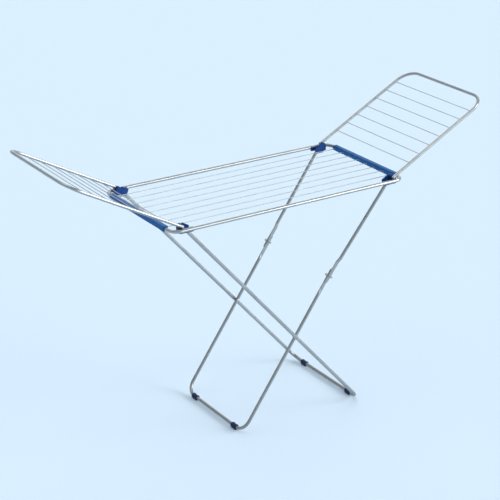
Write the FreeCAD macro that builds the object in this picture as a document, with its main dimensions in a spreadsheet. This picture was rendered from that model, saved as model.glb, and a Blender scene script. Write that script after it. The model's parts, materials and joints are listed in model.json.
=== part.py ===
"""A folding clothes airer with two hinged wings, as a parametric FreeCAD document.

The drying frame is a loop of bent tube with eight wires. A wing of lighter tube is hinged at
each end. Two leg frames carry it. The outer leg is one U of tube. The inner leg is hinged at
a knee, so that both legs fold up flat under the frame.
Frame: +X along the rack, +Y across it, +Z up, origin on the floor under the middle.
"""
import FreeCAD, Part
import math
import os
import Sketcher

DIMENSIONS = (
    # name, millimetres or degrees, what it is
    ("frame_height", 935, "centre line of the rails above the floor"),
    ("rail_half_gap", 250, "centre line of a rail from the middle plane"),
    ("end_bar_reach", 522, "centre line of an end bar from the middle"),
    ("rail_diameter", 14, "outer diameter of the frame and outer leg tube"),
    ("frame_bend", 38, "bend radius of the frame corners"),
    ("tube_wall", 1, "wall of every tube"),
    ("half_joint_gap", 0.2, "end of each frame half from the middle plane"),
    ("spigot_length", 70, "length of the sleeve that joins the frame halves"),
    ("spigot_slack", 0.05, "radial slack of a sleeve or plug in its tube"),
    ("wire_diameter", 3, "diameter of every drying wire"),
    ("wire_weld", 1.5, "depth of a wire's end in the tube that it is welded to"),
    ("main_wire_count", 8, "wires along the frame"),
    ("main_wire_pitch", 52.5, "spacing of the wires along the frame"),
    ("wing_wire_count", 7, "wires across a wing"),
    ("wing_wire_pitch", 56.4, "spacing of the wires across a wing"),
    ("wing_wire_start", 91, "first wing wire from the wing's pivot"),
    ("wing_pivot_reach", 479, "wing pivot from the middle"),
    ("wing_pivot_rise", 12.85, "wing pivot above the rails' centre line"),
    ("wing_reach", 509.4, "wing's outer bar from its pivot"),
    ("wing_tail", 4.5, "wing tube beyond its pivot"),
    ("wing_angle", 28.2, "slope of an open wing"),
    ("wing_half_gap", 241, "centre line of a wing arm from the middle plane"),
    ("wing_diameter", 12, "outer diameter of the wing tube"),
    ("wing_bend", 70, "bend radius of the wing corners"),
    ("wing_pin_diameter", 5, "wing hinge pin"),
    ("leg_pivot_reach", 455, "leg pivots from the middle"),
    ("leg_pivot_drop", 10, "leg pivots below the rails' centre line"),
    ("leg_top_half_gap", 230, "centre line of a leg from the middle plane, at the top"),
    ("leg_tail", 10, "leg tube beyond its top pivot"),
    ("leg_bend", 48, "bend radius of both leg frames"),
    ("rivet_diameter", 5.9, "shank of every leg rivet"),
    ("running_slack", 0.1, "extra diameter of a bore that turns on its pin"),
    ("outer_foot_reach", 358, "foot bar of the outer leg from the middle"),
    ("outer_foot_half_gap", 222.5, "centre line of the outer leg from the middle plane, at the foot"),
    ("inner_foot_reach", 192, "foot bar of the inner leg from the middle, on the other side"),
    ("foot_bar_height", 11, "centre line of the foot bars above the floor"),
    ("inner_leg_diameter", 13, "outer diameter of both parts of the inner leg"),
    ("lower_leg_half_gap", 207.5, "centre line of the lower leg from the middle plane"),
    ("upper_top_half_gap", 230, "centre line of the upper leg from the middle plane, at the top"),
    ("upper_knee_half_gap", 215.5, "centre line of the upper leg from the middle plane, at the knee"),
    ("lower_leg_slope", 55.5, "slope of the lower leg"),
    ("knee_distance", 696.5, "knee from the foot bar, along the lower leg"),
    ("knee_overlap", 30, "length of each flattened leg end past the knee"),
    ("knee_flat_length", 76, "flattened stretch of each inner leg tube before the knee"),
    ("knee_flat_width", 15, "width of a flattened tube in the plane of the leg"),
    ("knee_flat_thickness", 5, "thickness of a flattened tube"),
    ("lower_flat_half_gap", 208, "middle of the lower leg's flat from the middle plane"),
    ("upper_flat_half_gap", 213.5, "middle of the upper leg's flat from the middle plane"),
    ("knee_standoff", 10, "spacer between a flat and the knee rivet's head"),
    ("knee_head_radius", 5.5, "head of a knee rivet"),
    ("knee_head_height", 5, "height of a knee rivet's head"),
    ("spacer_radius", 4.2, "spacer sleeve on a knee rivet"),
    ("wing_pin_head_radius", 4.5, "head of a wing pin"),
    ("wing_pin_head_height", 1.8, "height of a wing pin's head"),
    ("plate_face", 218.9, "inner face of a corner bracket's plate from the middle plane"),
    ("plate_thickness", 3.5, "thickness of that plate"),
    ("plate_inner", 437, "inner corner of the plate from the middle, along the rack"),
    ("plate_inner_foot", 446, "foot of the plate's inner side"),
    ("plate_outer_foot", 477, "foot of the plate's outer side"),
    ("plate_outer", 489.5, "outer corner of the plate"),
    ("plate_peak", 466, "peak of the plate"),
    ("plate_above", 20.5, "peak of the plate above the rails' centre line"),
    ("plate_below", 19.5, "foot of the plate below the rails' centre line"),
    ("plate_shoulder", 3.5, "plate's inner and outer corners above the rails' centre line"),
    ("hinge_radius", 8.5, "boss round a wing pin"),
    ("hinge_boss_end", 234.6, "end of that boss, beside the wing arm"),
    ("web_start", 469.5, "inner side of the web that joins a bracket's plate to its saddle"),
    ("web_end", 491.5, "outer side of that web"),
    ("saddle_start", 432, "inner end of a bracket's saddle"),
    ("saddle_end", 488.5, "outer end of a bracket's saddle"),
    ("saddle_face", 237.4, "inner side of a saddle from the middle plane"),
    ("saddle_back", 247, "outer side of a saddle from the middle plane"),
    ("saddle_above", 4, "top of a saddle above the rails' centre line"),
    ("saddle_below", 12, "foot of a saddle below the rails' centre line"),
    ("rivet_lug_radius", 6, "lug of the saddle round a leg pivot"),
    ("rivet_lug_end", 241.4, "outer side of that lug from the middle plane"),
    ("pin_depth", 2, "depth of a pin in a bracket's plate"),
    ("stop_width", 3.6, "width of the wing stop along the rack"),
    ("stop_back", 242.5, "outer side of the wing stop from the middle plane"),
    ("stop_gap", 0.3, "gap between the wing stop and the open wing's arm"),
    ("strip_half_length", 200, "half the length of an end strip"),
    ("strip_side", 20, "height and width of an end strip"),
    ("strip_mouth", 10, "width of the mouth under an end strip"),
    ("strip_notch", 6, "width of the notch round each wire"),
    ("strip_groove", 3, "width of the groove along the outer face of an end strip"),
    ("strip_groove_depth", 0.8, "depth of that groove"),
    ("outer_foot_offset", 155, "foot clip of the outer leg from the middle plane"),
    ("inner_foot_offset", 146, "foot clip of the inner leg from the middle plane"),
    ("foot_length", 30, "length of a foot clip along its bar"),
    ("foot_rim_radius", 10.8, "rim of a foot clip"),
    ("foot_waist_radius", 9.2, "waist of a foot clip"),
    ("foot_rim_width", 6, "width of each rim of a foot clip"),
    ("foot_pad_width", 13, "width of the flat sole of a foot clip"),
    ("foot_pad_height", 5, "height of the sole block of a foot clip"),
    ("rivet_head_radius", 6.5, "head of a leg rivet"),
    ("rivet_head_height", 2.4, "height of a rivet head"),
    ("head_taper", 0.6, "top radius of a rivet head as a share of its foot's"),
    ("head_gap", 0.2, "gap between a rivet head and its tube"),
    ("washer_radius", 7.5, "washer between two leg tubes"),
    ("washer_thickness", 1.6, "thickness of that washer"),
    ("collar_thickness", 1.4, "collar of the rivet at the leg crossing"),
    ("plug_cap", 1.5, "thickness of a tube plug's cap"),
    ("plug_depth", 3.2, "length of a leg tube's plug inside its tube"),
    ("wing_plug_depth", 1.7, "length of a wing tube's plug inside its tube, short of the pin"),
)
BODY_AXIS_ACROSS = FreeCAD.Vector(0, 1, 0)
AXIS_ALONG = FreeCAD.Vector(1, 0, 0)

doc = FreeCAD.newDocument("clothes_airer")
sheet = doc.addObject("Spreadsheet::Sheet", "Sizes")
for row, (name, number, note) in enumerate(DIMENSIONS, start=1):
    sheet.set(f"A{row}", note)
    sheet.set(f"B{row}", str(number))
    sheet.setAlias(f"B{row}", name)
doc.recompute()

pieces = []


reckoner = doc.addObject("App::FeaturePython", "Reckoner")
reckoner.addProperty("App::PropertyFloat", "Answer")


def number_of(expression):
    """The value of an expression in the sheet's names."""
    reckoner.setExpression("Answer", expression)
    reckoner.recompute()
    return reckoner.Answer


def keep(piece, label):
    """Names a finished sub-part and lists it for export."""
    piece.Label = label
    pieces.append(piece)
    return piece


def slanted(base, angle):
    """A placement whose X axis rises by angle, in the plane along the rack."""
    return FreeCAD.Placement(base, FreeCAD.Rotation(BODY_AXIS_ACROSS, -angle))


def spot(along, across, up):
    """A point given by three expressions in the sheet's names."""
    return FreeCAD.Vector(number_of(along), number_of(across), number_of(up))


# ---------------------------------------------------------------- sketch helpers

def origin_plane(body, role):
    return next(item for item in body.Origin.OriginFeatures if item.Role == role)


def new_sketch(body, name, plane, offset=None):
    """An empty sketch on one of the body's own planes, moved along its normal."""
    sketch = body.newObject("Sketcher::SketchObject", name)
    sketch.AttachmentSupport = [(origin_plane(body, plane), "")]
    sketch.MapMode = "FlatFace"
    if offset is not None:
        sketch.setExpression("AttachmentOffset.Base.z", offset)
    return sketch


def bind(sketch, constraint, expression):
    """Adds a dimension to a sketch and ties it to the sheet."""
    index = sketch.addConstraint(constraint)
    sketch.setExpression(f"Constraints[{index}]", expression)
    return index


def add_circle(sketch, centre, diameter):
    """A circle whose centre and diameter follow expressions."""
    middle = FreeCAD.Vector(number_of(centre[0]), number_of(centre[1]), 0)
    radius = number_of(diameter) / 2
    index = sketch.addGeometry(Part.Circle(middle, FreeCAD.Vector(0, 0, 1), radius))
    pin_point(sketch, index, 3, centre)
    bind(sketch, Sketcher.Constraint("Diameter", index, 2 * radius), diameter)
    return index


def pin_point(sketch, index, end, target):
    """Holds one point of a sketch at two expressions, measured from its origin."""
    for kind, expression in zip(("DistanceX", "DistanceY"), target):
        constraint = Sketcher.Constraint(kind, -1, 1, index, end, number_of(expression))
        bind(sketch, constraint, expression)


def add_outline(sketch, corners):
    """A closed outline of straight sides whose corners follow expressions."""
    points = [FreeCAD.Vector(number_of(x), number_of(y), 0) for x, y in corners]
    first = sketch.GeometryCount
    count = len(points)
    for index, point in enumerate(points):
        sketch.addGeometry(Part.LineSegment(point, points[(index + 1) % count]))
    for index, corner in enumerate(corners):
        before = first + (index - 1) % count
        sketch.addConstraint(Sketcher.Constraint("Coincident", before, 2, first + index, 1))
        pin_point(sketch, first + index, 1, corner)


def feature_of(kind, body, name, sketch, length):
    """A pad or a pocket that runs equally to both sides of its sketch."""
    feature = body.newObject("PartDesign::" + kind, name)
    feature.Profile = sketch
    feature.setExpression("Length", length)
    feature.Midplane = True
    body.Tip = feature
    return feature


def pad(body, name, sketch, length):
    return feature_of("Pad", body, name, sketch, length)


def pocket(body, name, sketch, length):
    return feature_of("Pocket", body, name, sketch, length)


# ---------------------------------------------------------------- tubes

def tube_profile(body, mouth_half, diameter):
    """The ring-shaped section at the mouth of a tube, square to the tube's start."""
    ring = new_sketch(body, body.Name + "_section", "YZ_Plane")
    add_circle(ring, (mouth_half, "0"), diameter)
    add_circle(ring, (mouth_half, "0"), f"{diameter} - 2 * Sizes.tube_wall")
    return ring


def sweep_tube(body, path, section):
    pipe = body.newObject("PartDesign::AdditivePipe", body.Name + "_pipe")
    pipe.Profile = section
    pipe.Spine = (path, [])
    body.Tip = pipe
    return pipe


def cross_bores(body, bores):
    """Holes right across a tube frame, each at a distance along it and of a diameter."""
    for index, (distance, diameter) in enumerate(bores):
        sketch = new_sketch(body, f"{body.Name}_bore_{index}", "XZ_Plane")
        add_circle(sketch, (distance, "0"), diameter)
        pocket(body, f"{body.Name}_hole_{index}", sketch, "4 * Sizes.rail_half_gap")


def u_tube(label, reach, mouth_half, far_half, bend, diameter, bores=()):
    """A U of tube: two arms from the mouth, two bends and a bar across at the reach."""
    body = doc.addObject("PartDesign::Body", label)
    path = new_sketch(body, label + "_path", "XY_Plane")
    length = number_of(reach)
    mouth = number_of(mouth_half)
    far = number_of(far_half)
    radius = number_of(bend)
    lean = math.atan2(far - mouth, length)
    tangent = radius * math.tan((math.pi / 2 + lean) / 2)
    arm_end = FreeCAD.Vector(length - tangent * math.cos(lean), far - tangent * math.sin(lean), 0)
    bar_end = FreeCAD.Vector(length, far - tangent, 0)
    centre = FreeCAD.Vector(length - radius, far - tangent, 0)

    def opposite(point):
        return FreeCAD.Vector(point.x, -point.y, 0)

    up = FreeCAD.Vector(0, 0, 1)
    path.addGeometry(Part.LineSegment(FreeCAD.Vector(0, mouth, 0), arm_end))
    path.addGeometry(Part.ArcOfCircle(Part.Circle(centre, up, radius), 0, math.pi / 2 + lean))
    path.addGeometry(Part.LineSegment(bar_end, opposite(bar_end)))
    path.addGeometry(Part.ArcOfCircle(Part.Circle(opposite(centre), up, radius),
                                      -math.pi / 2 - lean, 0))
    path.addGeometry(Part.LineSegment(opposite(arm_end), FreeCAD.Vector(0, -mouth, 0)))
    for first, first_end, second, second_end in ((0, 2, 1, 2), (1, 1, 2, 1), (2, 2, 3, 2), (3, 1, 4, 1)):
        path.addConstraint(Sketcher.Constraint("Tangent", first, first_end, second, second_end))
    path.addConstraint(Sketcher.Constraint("Equal", 1, 3))
    path.addConstraint(Sketcher.Constraint("Symmetric", 2, 1, 2, 2, -1))
    pin_point(path, 0, 1, ("0", mouth_half))
    pin_point(path, 4, 2, ("0", f"-({mouth_half})"))
    bind(path, Sketcher.Constraint("DistanceX", -1, 1, 2, 1, length), reach)
    bind(path, Sketcher.Constraint("Radius", 1, radius), bend)
    if mouth_half == far_half:
        path.addConstraint(Sketcher.Constraint("Horizontal", 0))
    else:
        bind(path, Sketcher.Constraint("Angle", 0, lean), f"atan2({far_half} - {mouth_half}; {reach})")
    doc.recompute()
    sweep_tube(body, path, tube_profile(body, mouth_half, diameter))
    cross_bores(body, bores)
    return body


# ---------------------------------------------------------------- round parts

def round_bar(name, along, up, low, high, radius):
    """A solid cylinder across the rack, from low to high, about a point of the side view."""
    bar = doc.addObject("Part::Cylinder", name)
    bar.Placement.Rotation = FreeCAD.Rotation(AXIS_ALONG, -90)
    bar.setExpression("Radius", radius)
    bar.setExpression("Height", f"{high} - ({low})")
    for axis, expression in (("x", along), ("y", low), ("z", up)):
        bar.setExpression(f"Placement.Base.{axis}", expression)
    return bar


def rivet_head(name, along, up, face, outwards, prefix="rivet"):
    """A tapered rivet head whose flat side stands on the plane across at face."""
    head = doc.addObject("Part::Cone", name)
    head.Placement.Rotation = FreeCAD.Rotation(AXIS_ALONG, -90 if outwards else 90)
    head.setExpression("Radius1", f"Sizes.{prefix}_head_radius")
    head.setExpression("Radius2", f"Sizes.{prefix}_head_radius * Sizes.head_taper")
    head.setExpression("Height", f"Sizes.{prefix}_head_height")
    for axis, expression in (("x", along), ("y", face), ("z", up)):
        head.setExpression(f"Placement.Base.{axis}", expression)
    return head


def fused(name, parts):
    joined = doc.addObject("Part::MultiFuse", name)
    joined.Shapes = parts
    return joined


def cut(name, base, tool):
    result = doc.addObject("Part::Cut", name)
    result.Base = base
    result.Tool = tool
    return result


def ring(name, along, up, low, high, radius, hole_radius):
    """A washer or a bush across the rack."""
    solid = round_bar(name + "_solid", along, up, low, high, radius)
    hole = round_bar(name + "_hole", along, up, low, high, hole_radius)
    return cut(name, solid, hole)


def mirrored(name, source, normal):
    """The mirror image of a piece in a plane through the origin."""
    image = doc.addObject("Part::Mirroring", name)
    image.Source = source
    image.Base = FreeCAD.Vector(0, 0, 0)
    image.Normal = normal
    return image


def grouped(label, parts):
    """Several separate solids as one sub-part."""
    group = doc.addObject("Part::Compound", label)
    group.Links = parts
    return keep(group, label)


def both_sides(label, piece):
    """A sub-part of two solids: a piece on the far side and its image on the near side."""
    return grouped(label, [piece, mirrored(label + "_near", piece, BODY_AXIS_ACROSS)])


# ---------------------------------------------------------------- places

PIVOT_UP = "(Sizes.frame_height - Sizes.leg_pivot_drop)"
OUTER_SPAN = "(Sizes.outer_foot_reach + Sizes.leg_pivot_reach)"
LEG_FALL = f"({PIVOT_UP} - Sizes.foot_bar_height)"
OUTER_SLOPE = f"atan2({LEG_FALL}; {OUTER_SPAN})"
OUTER_LENGTH = f"hypot({LEG_FALL}; {OUTER_SPAN})"
LOWER_SLOPE = "(Sizes.lower_leg_slope * 1 deg)"
FOOT_SPAN = "(Sizes.outer_foot_reach + Sizes.inner_foot_reach)"
APEX_SINE = f"sin({OUTER_SLOPE} + {LOWER_SLOPE})"
CROSS_ON_LOWER = f"({FOOT_SPAN} * sin({OUTER_SLOPE}) / {APEX_SINE})"
CROSS_ON_OUTER = f"({OUTER_LENGTH} - {FOOT_SPAN} * sin({LOWER_SLOPE}) / {APEX_SINE})"
CROSS_X = f"({CROSS_ON_LOWER} * cos({LOWER_SLOPE}) - Sizes.inner_foot_reach)"
CROSS_Z = f"({CROSS_ON_LOWER} * sin({LOWER_SLOPE}) + Sizes.foot_bar_height)"
KNEE_X = f"(Sizes.knee_distance * cos({LOWER_SLOPE}) - Sizes.inner_foot_reach)"
KNEE_Z = f"(Sizes.knee_distance * sin({LOWER_SLOPE}) + Sizes.foot_bar_height)"
UPPER_SLOPE = f"atan2({PIVOT_UP} - {KNEE_Z}; Sizes.leg_pivot_reach - {KNEE_X})"
UPPER_LENGTH = f"hypot({PIVOT_UP} - {KNEE_Z}; Sizes.leg_pivot_reach - {KNEE_X})"
OUTER_HALF_AT_CROSS = (f"(Sizes.leg_top_half_gap - (Sizes.leg_top_half_gap - Sizes.outer_foot_half_gap)"
                       f" * {CROSS_ON_OUTER} / {OUTER_LENGTH})")
RIVET_RADIUS = "Sizes.rivet_diameter / 2"
RUNNING_BORE = "Sizes.rivet_diameter + Sizes.running_slack"
FRAME_RADIUS = "Sizes.rail_diameter / 2"
INNER_RADIUS = "Sizes.inner_leg_diameter / 2"
WING_RADIUS = "Sizes.wing_diameter / 2"
WING_PIVOT_Z = "(Sizes.frame_height + Sizes.wing_pivot_rise)"


# ---------------------------------------------------------------- main frame

def frame_half(label, turn):
    """One U half of the drying frame, from the joint in the rails to the end bar."""
    half = u_tube(label, "Sizes.end_bar_reach - Sizes.half_joint_gap", "Sizes.rail_half_gap",
                  "Sizes.rail_half_gap", "Sizes.frame_bend", "Sizes.rail_diameter")
    gap = math.copysign(number_of("Sizes.half_joint_gap"), math.cos(math.radians(turn)))
    base = FreeCAD.Vector(gap, 0, number_of("Sizes.frame_height"))
    half.Placement = FreeCAD.Placement(base, FreeCAD.Rotation(FreeCAD.Vector(0, 0, 1), turn))
    keep(half, label)


def lengthways_rod(name, across, half_length, radius):
    """A rod along the rack at the height of the frame."""
    rod = doc.addObject("Part::Cylinder", name)
    rod.Placement.Rotation = FreeCAD.Rotation(BODY_AXIS_ACROSS, 90)
    rod.setExpression("Radius", radius)
    rod.setExpression("Height", f"2 * ({half_length})")
    rod.setExpression("Placement.Base.x", f"-({half_length})")
    rod.setExpression("Placement.Base.y", across)
    rod.setExpression("Placement.Base.z", "Sizes.frame_height")
    return rod


def rail_spigots():
    spigot = lengthways_rod("rail_spigot", "Sizes.rail_half_gap", "Sizes.spigot_length / 2",
                            f"{FRAME_RADIUS} - Sizes.tube_wall - Sizes.spigot_slack")
    both_sides("rail_spigots", spigot)


def main_wires():
    """Wires along the frame, welded to both end bars."""
    wires = []
    for index in range(int(number_of("Sizes.main_wire_count"))):
        across = f"({index} - (Sizes.main_wire_count - 1) / 2) * Sizes.main_wire_pitch"
        half_length = f"Sizes.end_bar_reach - {FRAME_RADIUS} + Sizes.wire_weld"
        wires.append(lengthways_rod(f"main_wire_{index}", across, half_length, "Sizes.wire_diameter / 2"))
    grouped("main_wires", wires)


def end_strip():
    """A plastic strip that snaps over an end bar from above, notched for the wires and grooved."""
    strip = doc.addObject("PartDesign::Body", "end_strip_right")
    centre = "Sizes.end_bar_reach"
    half_side = "Sizes.strip_side / 2"
    height = "Sizes.frame_height"
    block = new_sketch(strip, "strip_block", "XZ_Plane")
    add_outline(block, ((f"{centre} - {half_side}", f"{height} - {half_side}"),
                        (f"{centre} + {half_side}", f"{height} - {half_side}"),
                        (f"{centre} + {half_side}", f"{height} + {half_side}"),
                        (f"{centre} - {half_side}", f"{height} + {half_side}")))
    pad(strip, "strip_pad", block, "2 * Sizes.strip_half_length")
    seat = new_sketch(strip, "strip_seat", "XZ_Plane")
    add_circle(seat, (centre, height), "Sizes.rail_diameter + Sizes.running_slack")
    pocket(strip, "strip_seat_cut", seat, "3 * Sizes.strip_half_length")
    mouth = new_sketch(strip, "strip_mouth", "XZ_Plane")
    half_mouth = "Sizes.strip_mouth / 2"
    add_outline(mouth, ((f"{centre} - {half_mouth}", f"{height} - Sizes.strip_side"),
                        (f"{centre} + {half_mouth}", f"{height} - Sizes.strip_side"),
                        (f"{centre} + {half_mouth}", height),
                        (f"{centre} - {half_mouth}", height)))
    pocket(strip, "strip_mouth_cut", mouth, "3 * Sizes.strip_half_length")
    groove = new_sketch(strip, "strip_groove", "XZ_Plane")
    outer_face = f"{centre} + {half_side}"
    half_groove = "Sizes.strip_groove / 2"
    add_outline(groove, ((f"{outer_face} - Sizes.strip_groove_depth", f"{height} - {half_groove}"),
                         (f"{outer_face} + Sizes.strip_groove", f"{height} - {half_groove}"),
                         (f"{outer_face} + Sizes.strip_groove", f"{height} + {half_groove}"),
                         (f"{outer_face} - Sizes.strip_groove_depth", f"{height} + {half_groove}")))
    pocket(strip, "strip_groove_cut", groove, "3 * Sizes.strip_half_length")
    notch = new_sketch(strip, "strip_notch", "XY_Plane", f"{height} - {half_side}")
    first = "(Sizes.main_wire_count - 1) / 2 * Sizes.main_wire_pitch"
    half_notch = "Sizes.strip_notch / 2"
    add_outline(notch, ((f"{centre} - Sizes.strip_side", f"-({first}) - {half_notch}"),
                        (centre, f"-({first}) - {half_notch}"),
                        (centre, f"-({first}) + {half_notch}"),
                        (f"{centre} - Sizes.strip_side", f"-({first}) + {half_notch}")))
    notch_cut = pocket(strip, "strip_notch_cut", notch,
                       "Sizes.strip_side + 2 * Sizes.wire_diameter")
    row = strip.newObject("PartDesign::LinearPattern", "strip_notches")
    row.Originals = [notch_cut]
    row.Direction = (origin_plane(strip, "Y_Axis"), [""])
    row.setExpression("Length", f"2 * {first}")
    row.setExpression("Occurrences", "Sizes.main_wire_count")
    strip.Tip = row
    keep(strip, "end_strip_right")
    keep(mirrored("end_strip_left", strip, AXIS_ALONG), "end_strip_left")


def hinge_side_plane(across):
    """The offset of a sketch plane whose normal points to the near side."""
    return f"-({across})"


def add_plate(body, name, low, high, outline=None, circle=None):
    """Pads an outline or a circle of the side view from low to high across the rack."""
    sketch = new_sketch(body, name, "XZ_Plane", hinge_side_plane(f"({low} + {high}) / 2"))
    if outline:
        add_outline(sketch, outline)
    else:
        add_circle(sketch, *circle)
    pad(body, name + "_pad", sketch, f"{high} - {low}")


def rectangle(start, finish, bottom, top):
    return ((start, bottom), (finish, bottom), (finish, top), (start, top))


def corner_brackets():
    """Four plastic brackets. Each saddles a rail and carries a leg and a wing behind its plate."""
    bracket = doc.addObject("PartDesign::Body", "corner_bracket_far_right")
    height = "Sizes.frame_height"
    foot = f"{height} - Sizes.plate_below"
    shoulder = f"{height} + Sizes.plate_shoulder"
    face = "Sizes.plate_face"
    back = "(Sizes.plate_face + Sizes.plate_thickness)"
    add_plate(bracket, "bracket_plate", face, back, (
        ("Sizes.plate_inner", shoulder), ("Sizes.plate_inner_foot", foot),
        ("Sizes.plate_outer_foot", foot), ("Sizes.plate_outer", shoulder),
        ("Sizes.plate_peak", f"{height} + Sizes.plate_above")))
    hinge = ("Sizes.wing_pivot_reach", WING_PIVOT_Z)
    add_plate(bracket, "hinge_boss", face, "Sizes.hinge_boss_end",
              circle=(hinge, "2 * Sizes.hinge_radius"))
    add_plate(bracket, "hinge_block", face, "Sizes.hinge_boss_end", rectangle(
        "Sizes.web_start + 1", "Sizes.wing_pivot_reach + Sizes.hinge_radius", height, WING_PIVOT_Z))
    top = f"{height} + Sizes.saddle_above"
    add_plate(bracket, "bracket_web", face, "Sizes.saddle_back", rectangle(
        "Sizes.web_start", "Sizes.saddle_end", f"{height} - Sizes.saddle_below", top))
    add_plate(bracket, "bracket_saddle", "Sizes.saddle_face", "Sizes.saddle_back", rectangle(
        "Sizes.saddle_start", "Sizes.saddle_end", f"{height} - Sizes.saddle_below", top))
    add_plate(bracket, "rivet_lug", "Sizes.saddle_face", "Sizes.rivet_lug_end",
              circle=(("Sizes.leg_pivot_reach", PIVOT_UP), "2 * Sizes.rivet_lug_radius"))
    slope = "Sizes.wing_angle * 1 deg"
    stop_start = "(Sizes.web_end - Sizes.stop_width)"
    under_arm = f"{WING_PIVOT_Z} - ({WING_RADIUS} + Sizes.stop_gap) / cos({slope})"
    add_plate(bracket, "wing_stop", face, "Sizes.stop_back", (
        (stop_start, f"{height} - Sizes.saddle_below"), ("Sizes.web_end", f"{height} - Sizes.saddle_below"),
        ("Sizes.web_end", f"{under_arm} + (Sizes.web_end - Sizes.wing_pivot_reach) * tan({slope})"),
        (stop_start, f"{under_arm} + ({stop_start} - Sizes.wing_pivot_reach) * tan({slope})")))
    channel = new_sketch(bracket, "bracket_channel", "YZ_Plane", "Sizes.leg_pivot_reach")
    add_circle(channel, ("Sizes.rail_half_gap", height), "Sizes.rail_diameter + Sizes.running_slack")
    pocket(bracket, "bracket_channel_cut", channel, "Sizes.rail_half_gap")
    for name, centre, diameter in (("wing_pin_hole", hinge, "Sizes.wing_pin_diameter"),
                                   ("leg_rivet_hole", ("Sizes.leg_pivot_reach", PIVOT_UP),
                                    "Sizes.rivet_diameter")):
        hole = new_sketch(bracket, name, "XZ_Plane", hinge_side_plane("Sizes.rail_half_gap"))
        add_circle(hole, centre, diameter)
        pocket(bracket, name + "_cut", hole, f"2 * (Sizes.rail_half_gap - {back} + Sizes.pin_depth)")

    keep(bracket, "corner_bracket_far_right")
    near = keep(mirrored("corner_bracket_near_right", bracket, BODY_AXIS_ACROSS),
                "corner_bracket_near_right")
    keep(mirrored("corner_bracket_far_left", bracket, AXIS_ALONG), "corner_bracket_far_left")
    keep(mirrored("corner_bracket_near_left", near, AXIS_ALONG), "corner_bracket_near_left")


PIN_START = "(Sizes.plate_face + Sizes.plate_thickness - Sizes.pin_depth)"


def leg_pins(label, direction):
    """Pins through the leg tubes of one end, held between the brackets' plates and saddles."""
    pin = round_bar(label + "_pin", f"{direction} * Sizes.leg_pivot_reach", PIVOT_UP, PIN_START,
                    "Sizes.rivet_lug_end", RIVET_RADIUS)
    both_sides(label, pin)


def wing_pins(label, direction):
    """Headed pins from the outer side of the wing arms into the brackets' bosses."""
    along = f"{direction} * Sizes.wing_pivot_reach"
    face = f"Sizes.wing_half_gap + {WING_RADIUS} + Sizes.head_gap"
    shank = round_bar(label + "_shank", along, WING_PIVOT_Z, PIN_START, face,
                      "Sizes.wing_pin_diameter / 2")
    head = rivet_head(label + "_head", along, WING_PIVOT_Z, face, outwards=True, prefix="wing_pin")
    both_sides(label, fused(label + "_far", [shank, head]))


# ---------------------------------------------------------------- tube plugs

def tube_plug(name, diameter, across, depth):
    """A plug with a cap, lying along X with its cap's inner face at the origin."""
    cap = doc.addObject("Part::Cylinder", name + "_cap")
    cap.setExpression("Radius", f"{diameter} / 2")
    cap.setExpression("Height", "Sizes.plug_cap")
    stem = doc.addObject("Part::Cylinder", name + "_stem")
    stem.setExpression("Radius", f"{diameter} / 2 - Sizes.tube_wall - 2 * Sizes.spigot_slack")
    stem.setExpression("Height", depth)
    for cylinder, turn in ((cap, -90), (stem, 90)):
        cylinder.Placement.Rotation = FreeCAD.Rotation(BODY_AXIS_ACROSS, turn)
        cylinder.setExpression("Placement.Base.y", across)
    return fused(name, [cap, stem])


def plugs(label, ends, diameter, depth="Sizes.plug_depth"):
    """Plugs in the ends of a frame's tubes: each end is a placement and a half gap."""
    parts = []
    for index, (placement, half_gap) in enumerate(ends):
        plug = tube_plug(f"{label}_{index}", diameter, half_gap, depth)
        plug.Placement = placement
        parts.append(plug)
        parts.append(mirrored(f"{label}_{index}_near", plug, BODY_AXIS_ACROSS))
    return grouped(label, parts)


# ---------------------------------------------------------------- wings

def wing(side, direction):
    """A hinged wing: bent tube, wires across it and plugs in the tube's ends."""
    pivot = spot(f"{direction} * Sizes.wing_pivot_reach", "0", WING_PIVOT_Z)
    slope = number_of("Sizes.wing_angle")
    angle = slope if direction > 0 else 180 - slope
    outwards = slanted(FreeCAD.Vector(0, 0, 0), angle).multVec(AXIS_ALONG)
    mouth = slanted(pivot - outwards * number_of("Sizes.wing_tail"), angle)
    tube = u_tube(f"wing_tube_{side}", "Sizes.wing_reach + Sizes.wing_tail", "Sizes.wing_half_gap",
                  "Sizes.wing_half_gap", "Sizes.wing_bend", "Sizes.wing_diameter",
                  (("Sizes.wing_tail", "Sizes.wing_pin_diameter + Sizes.running_slack"),))
    tube.Placement = mouth
    keep(tube, f"wing_tube_{side}")

    wires = []
    half_length = f"(Sizes.wing_half_gap - {WING_RADIUS} + Sizes.wire_weld)"
    for index in range(int(number_of("Sizes.wing_wire_count"))):
        distance = number_of(f"Sizes.wing_wire_start + {index} * Sizes.wing_wire_pitch")
        centre = pivot + outwards * distance
        wires.append(round_bar(f"wing_wire_{side}_{index}", f"{centre.x}", f"{centre.z}",
                               f"-{half_length}", half_length, "Sizes.wire_diameter / 2"))
    grouped(f"wing_wires_{side}", wires)
    plugs(f"wing_plugs_{side}", [(mouth, "Sizes.wing_half_gap")], "Sizes.wing_diameter",
          "Sizes.wing_plug_depth")


# ---------------------------------------------------------------- feet

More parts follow.
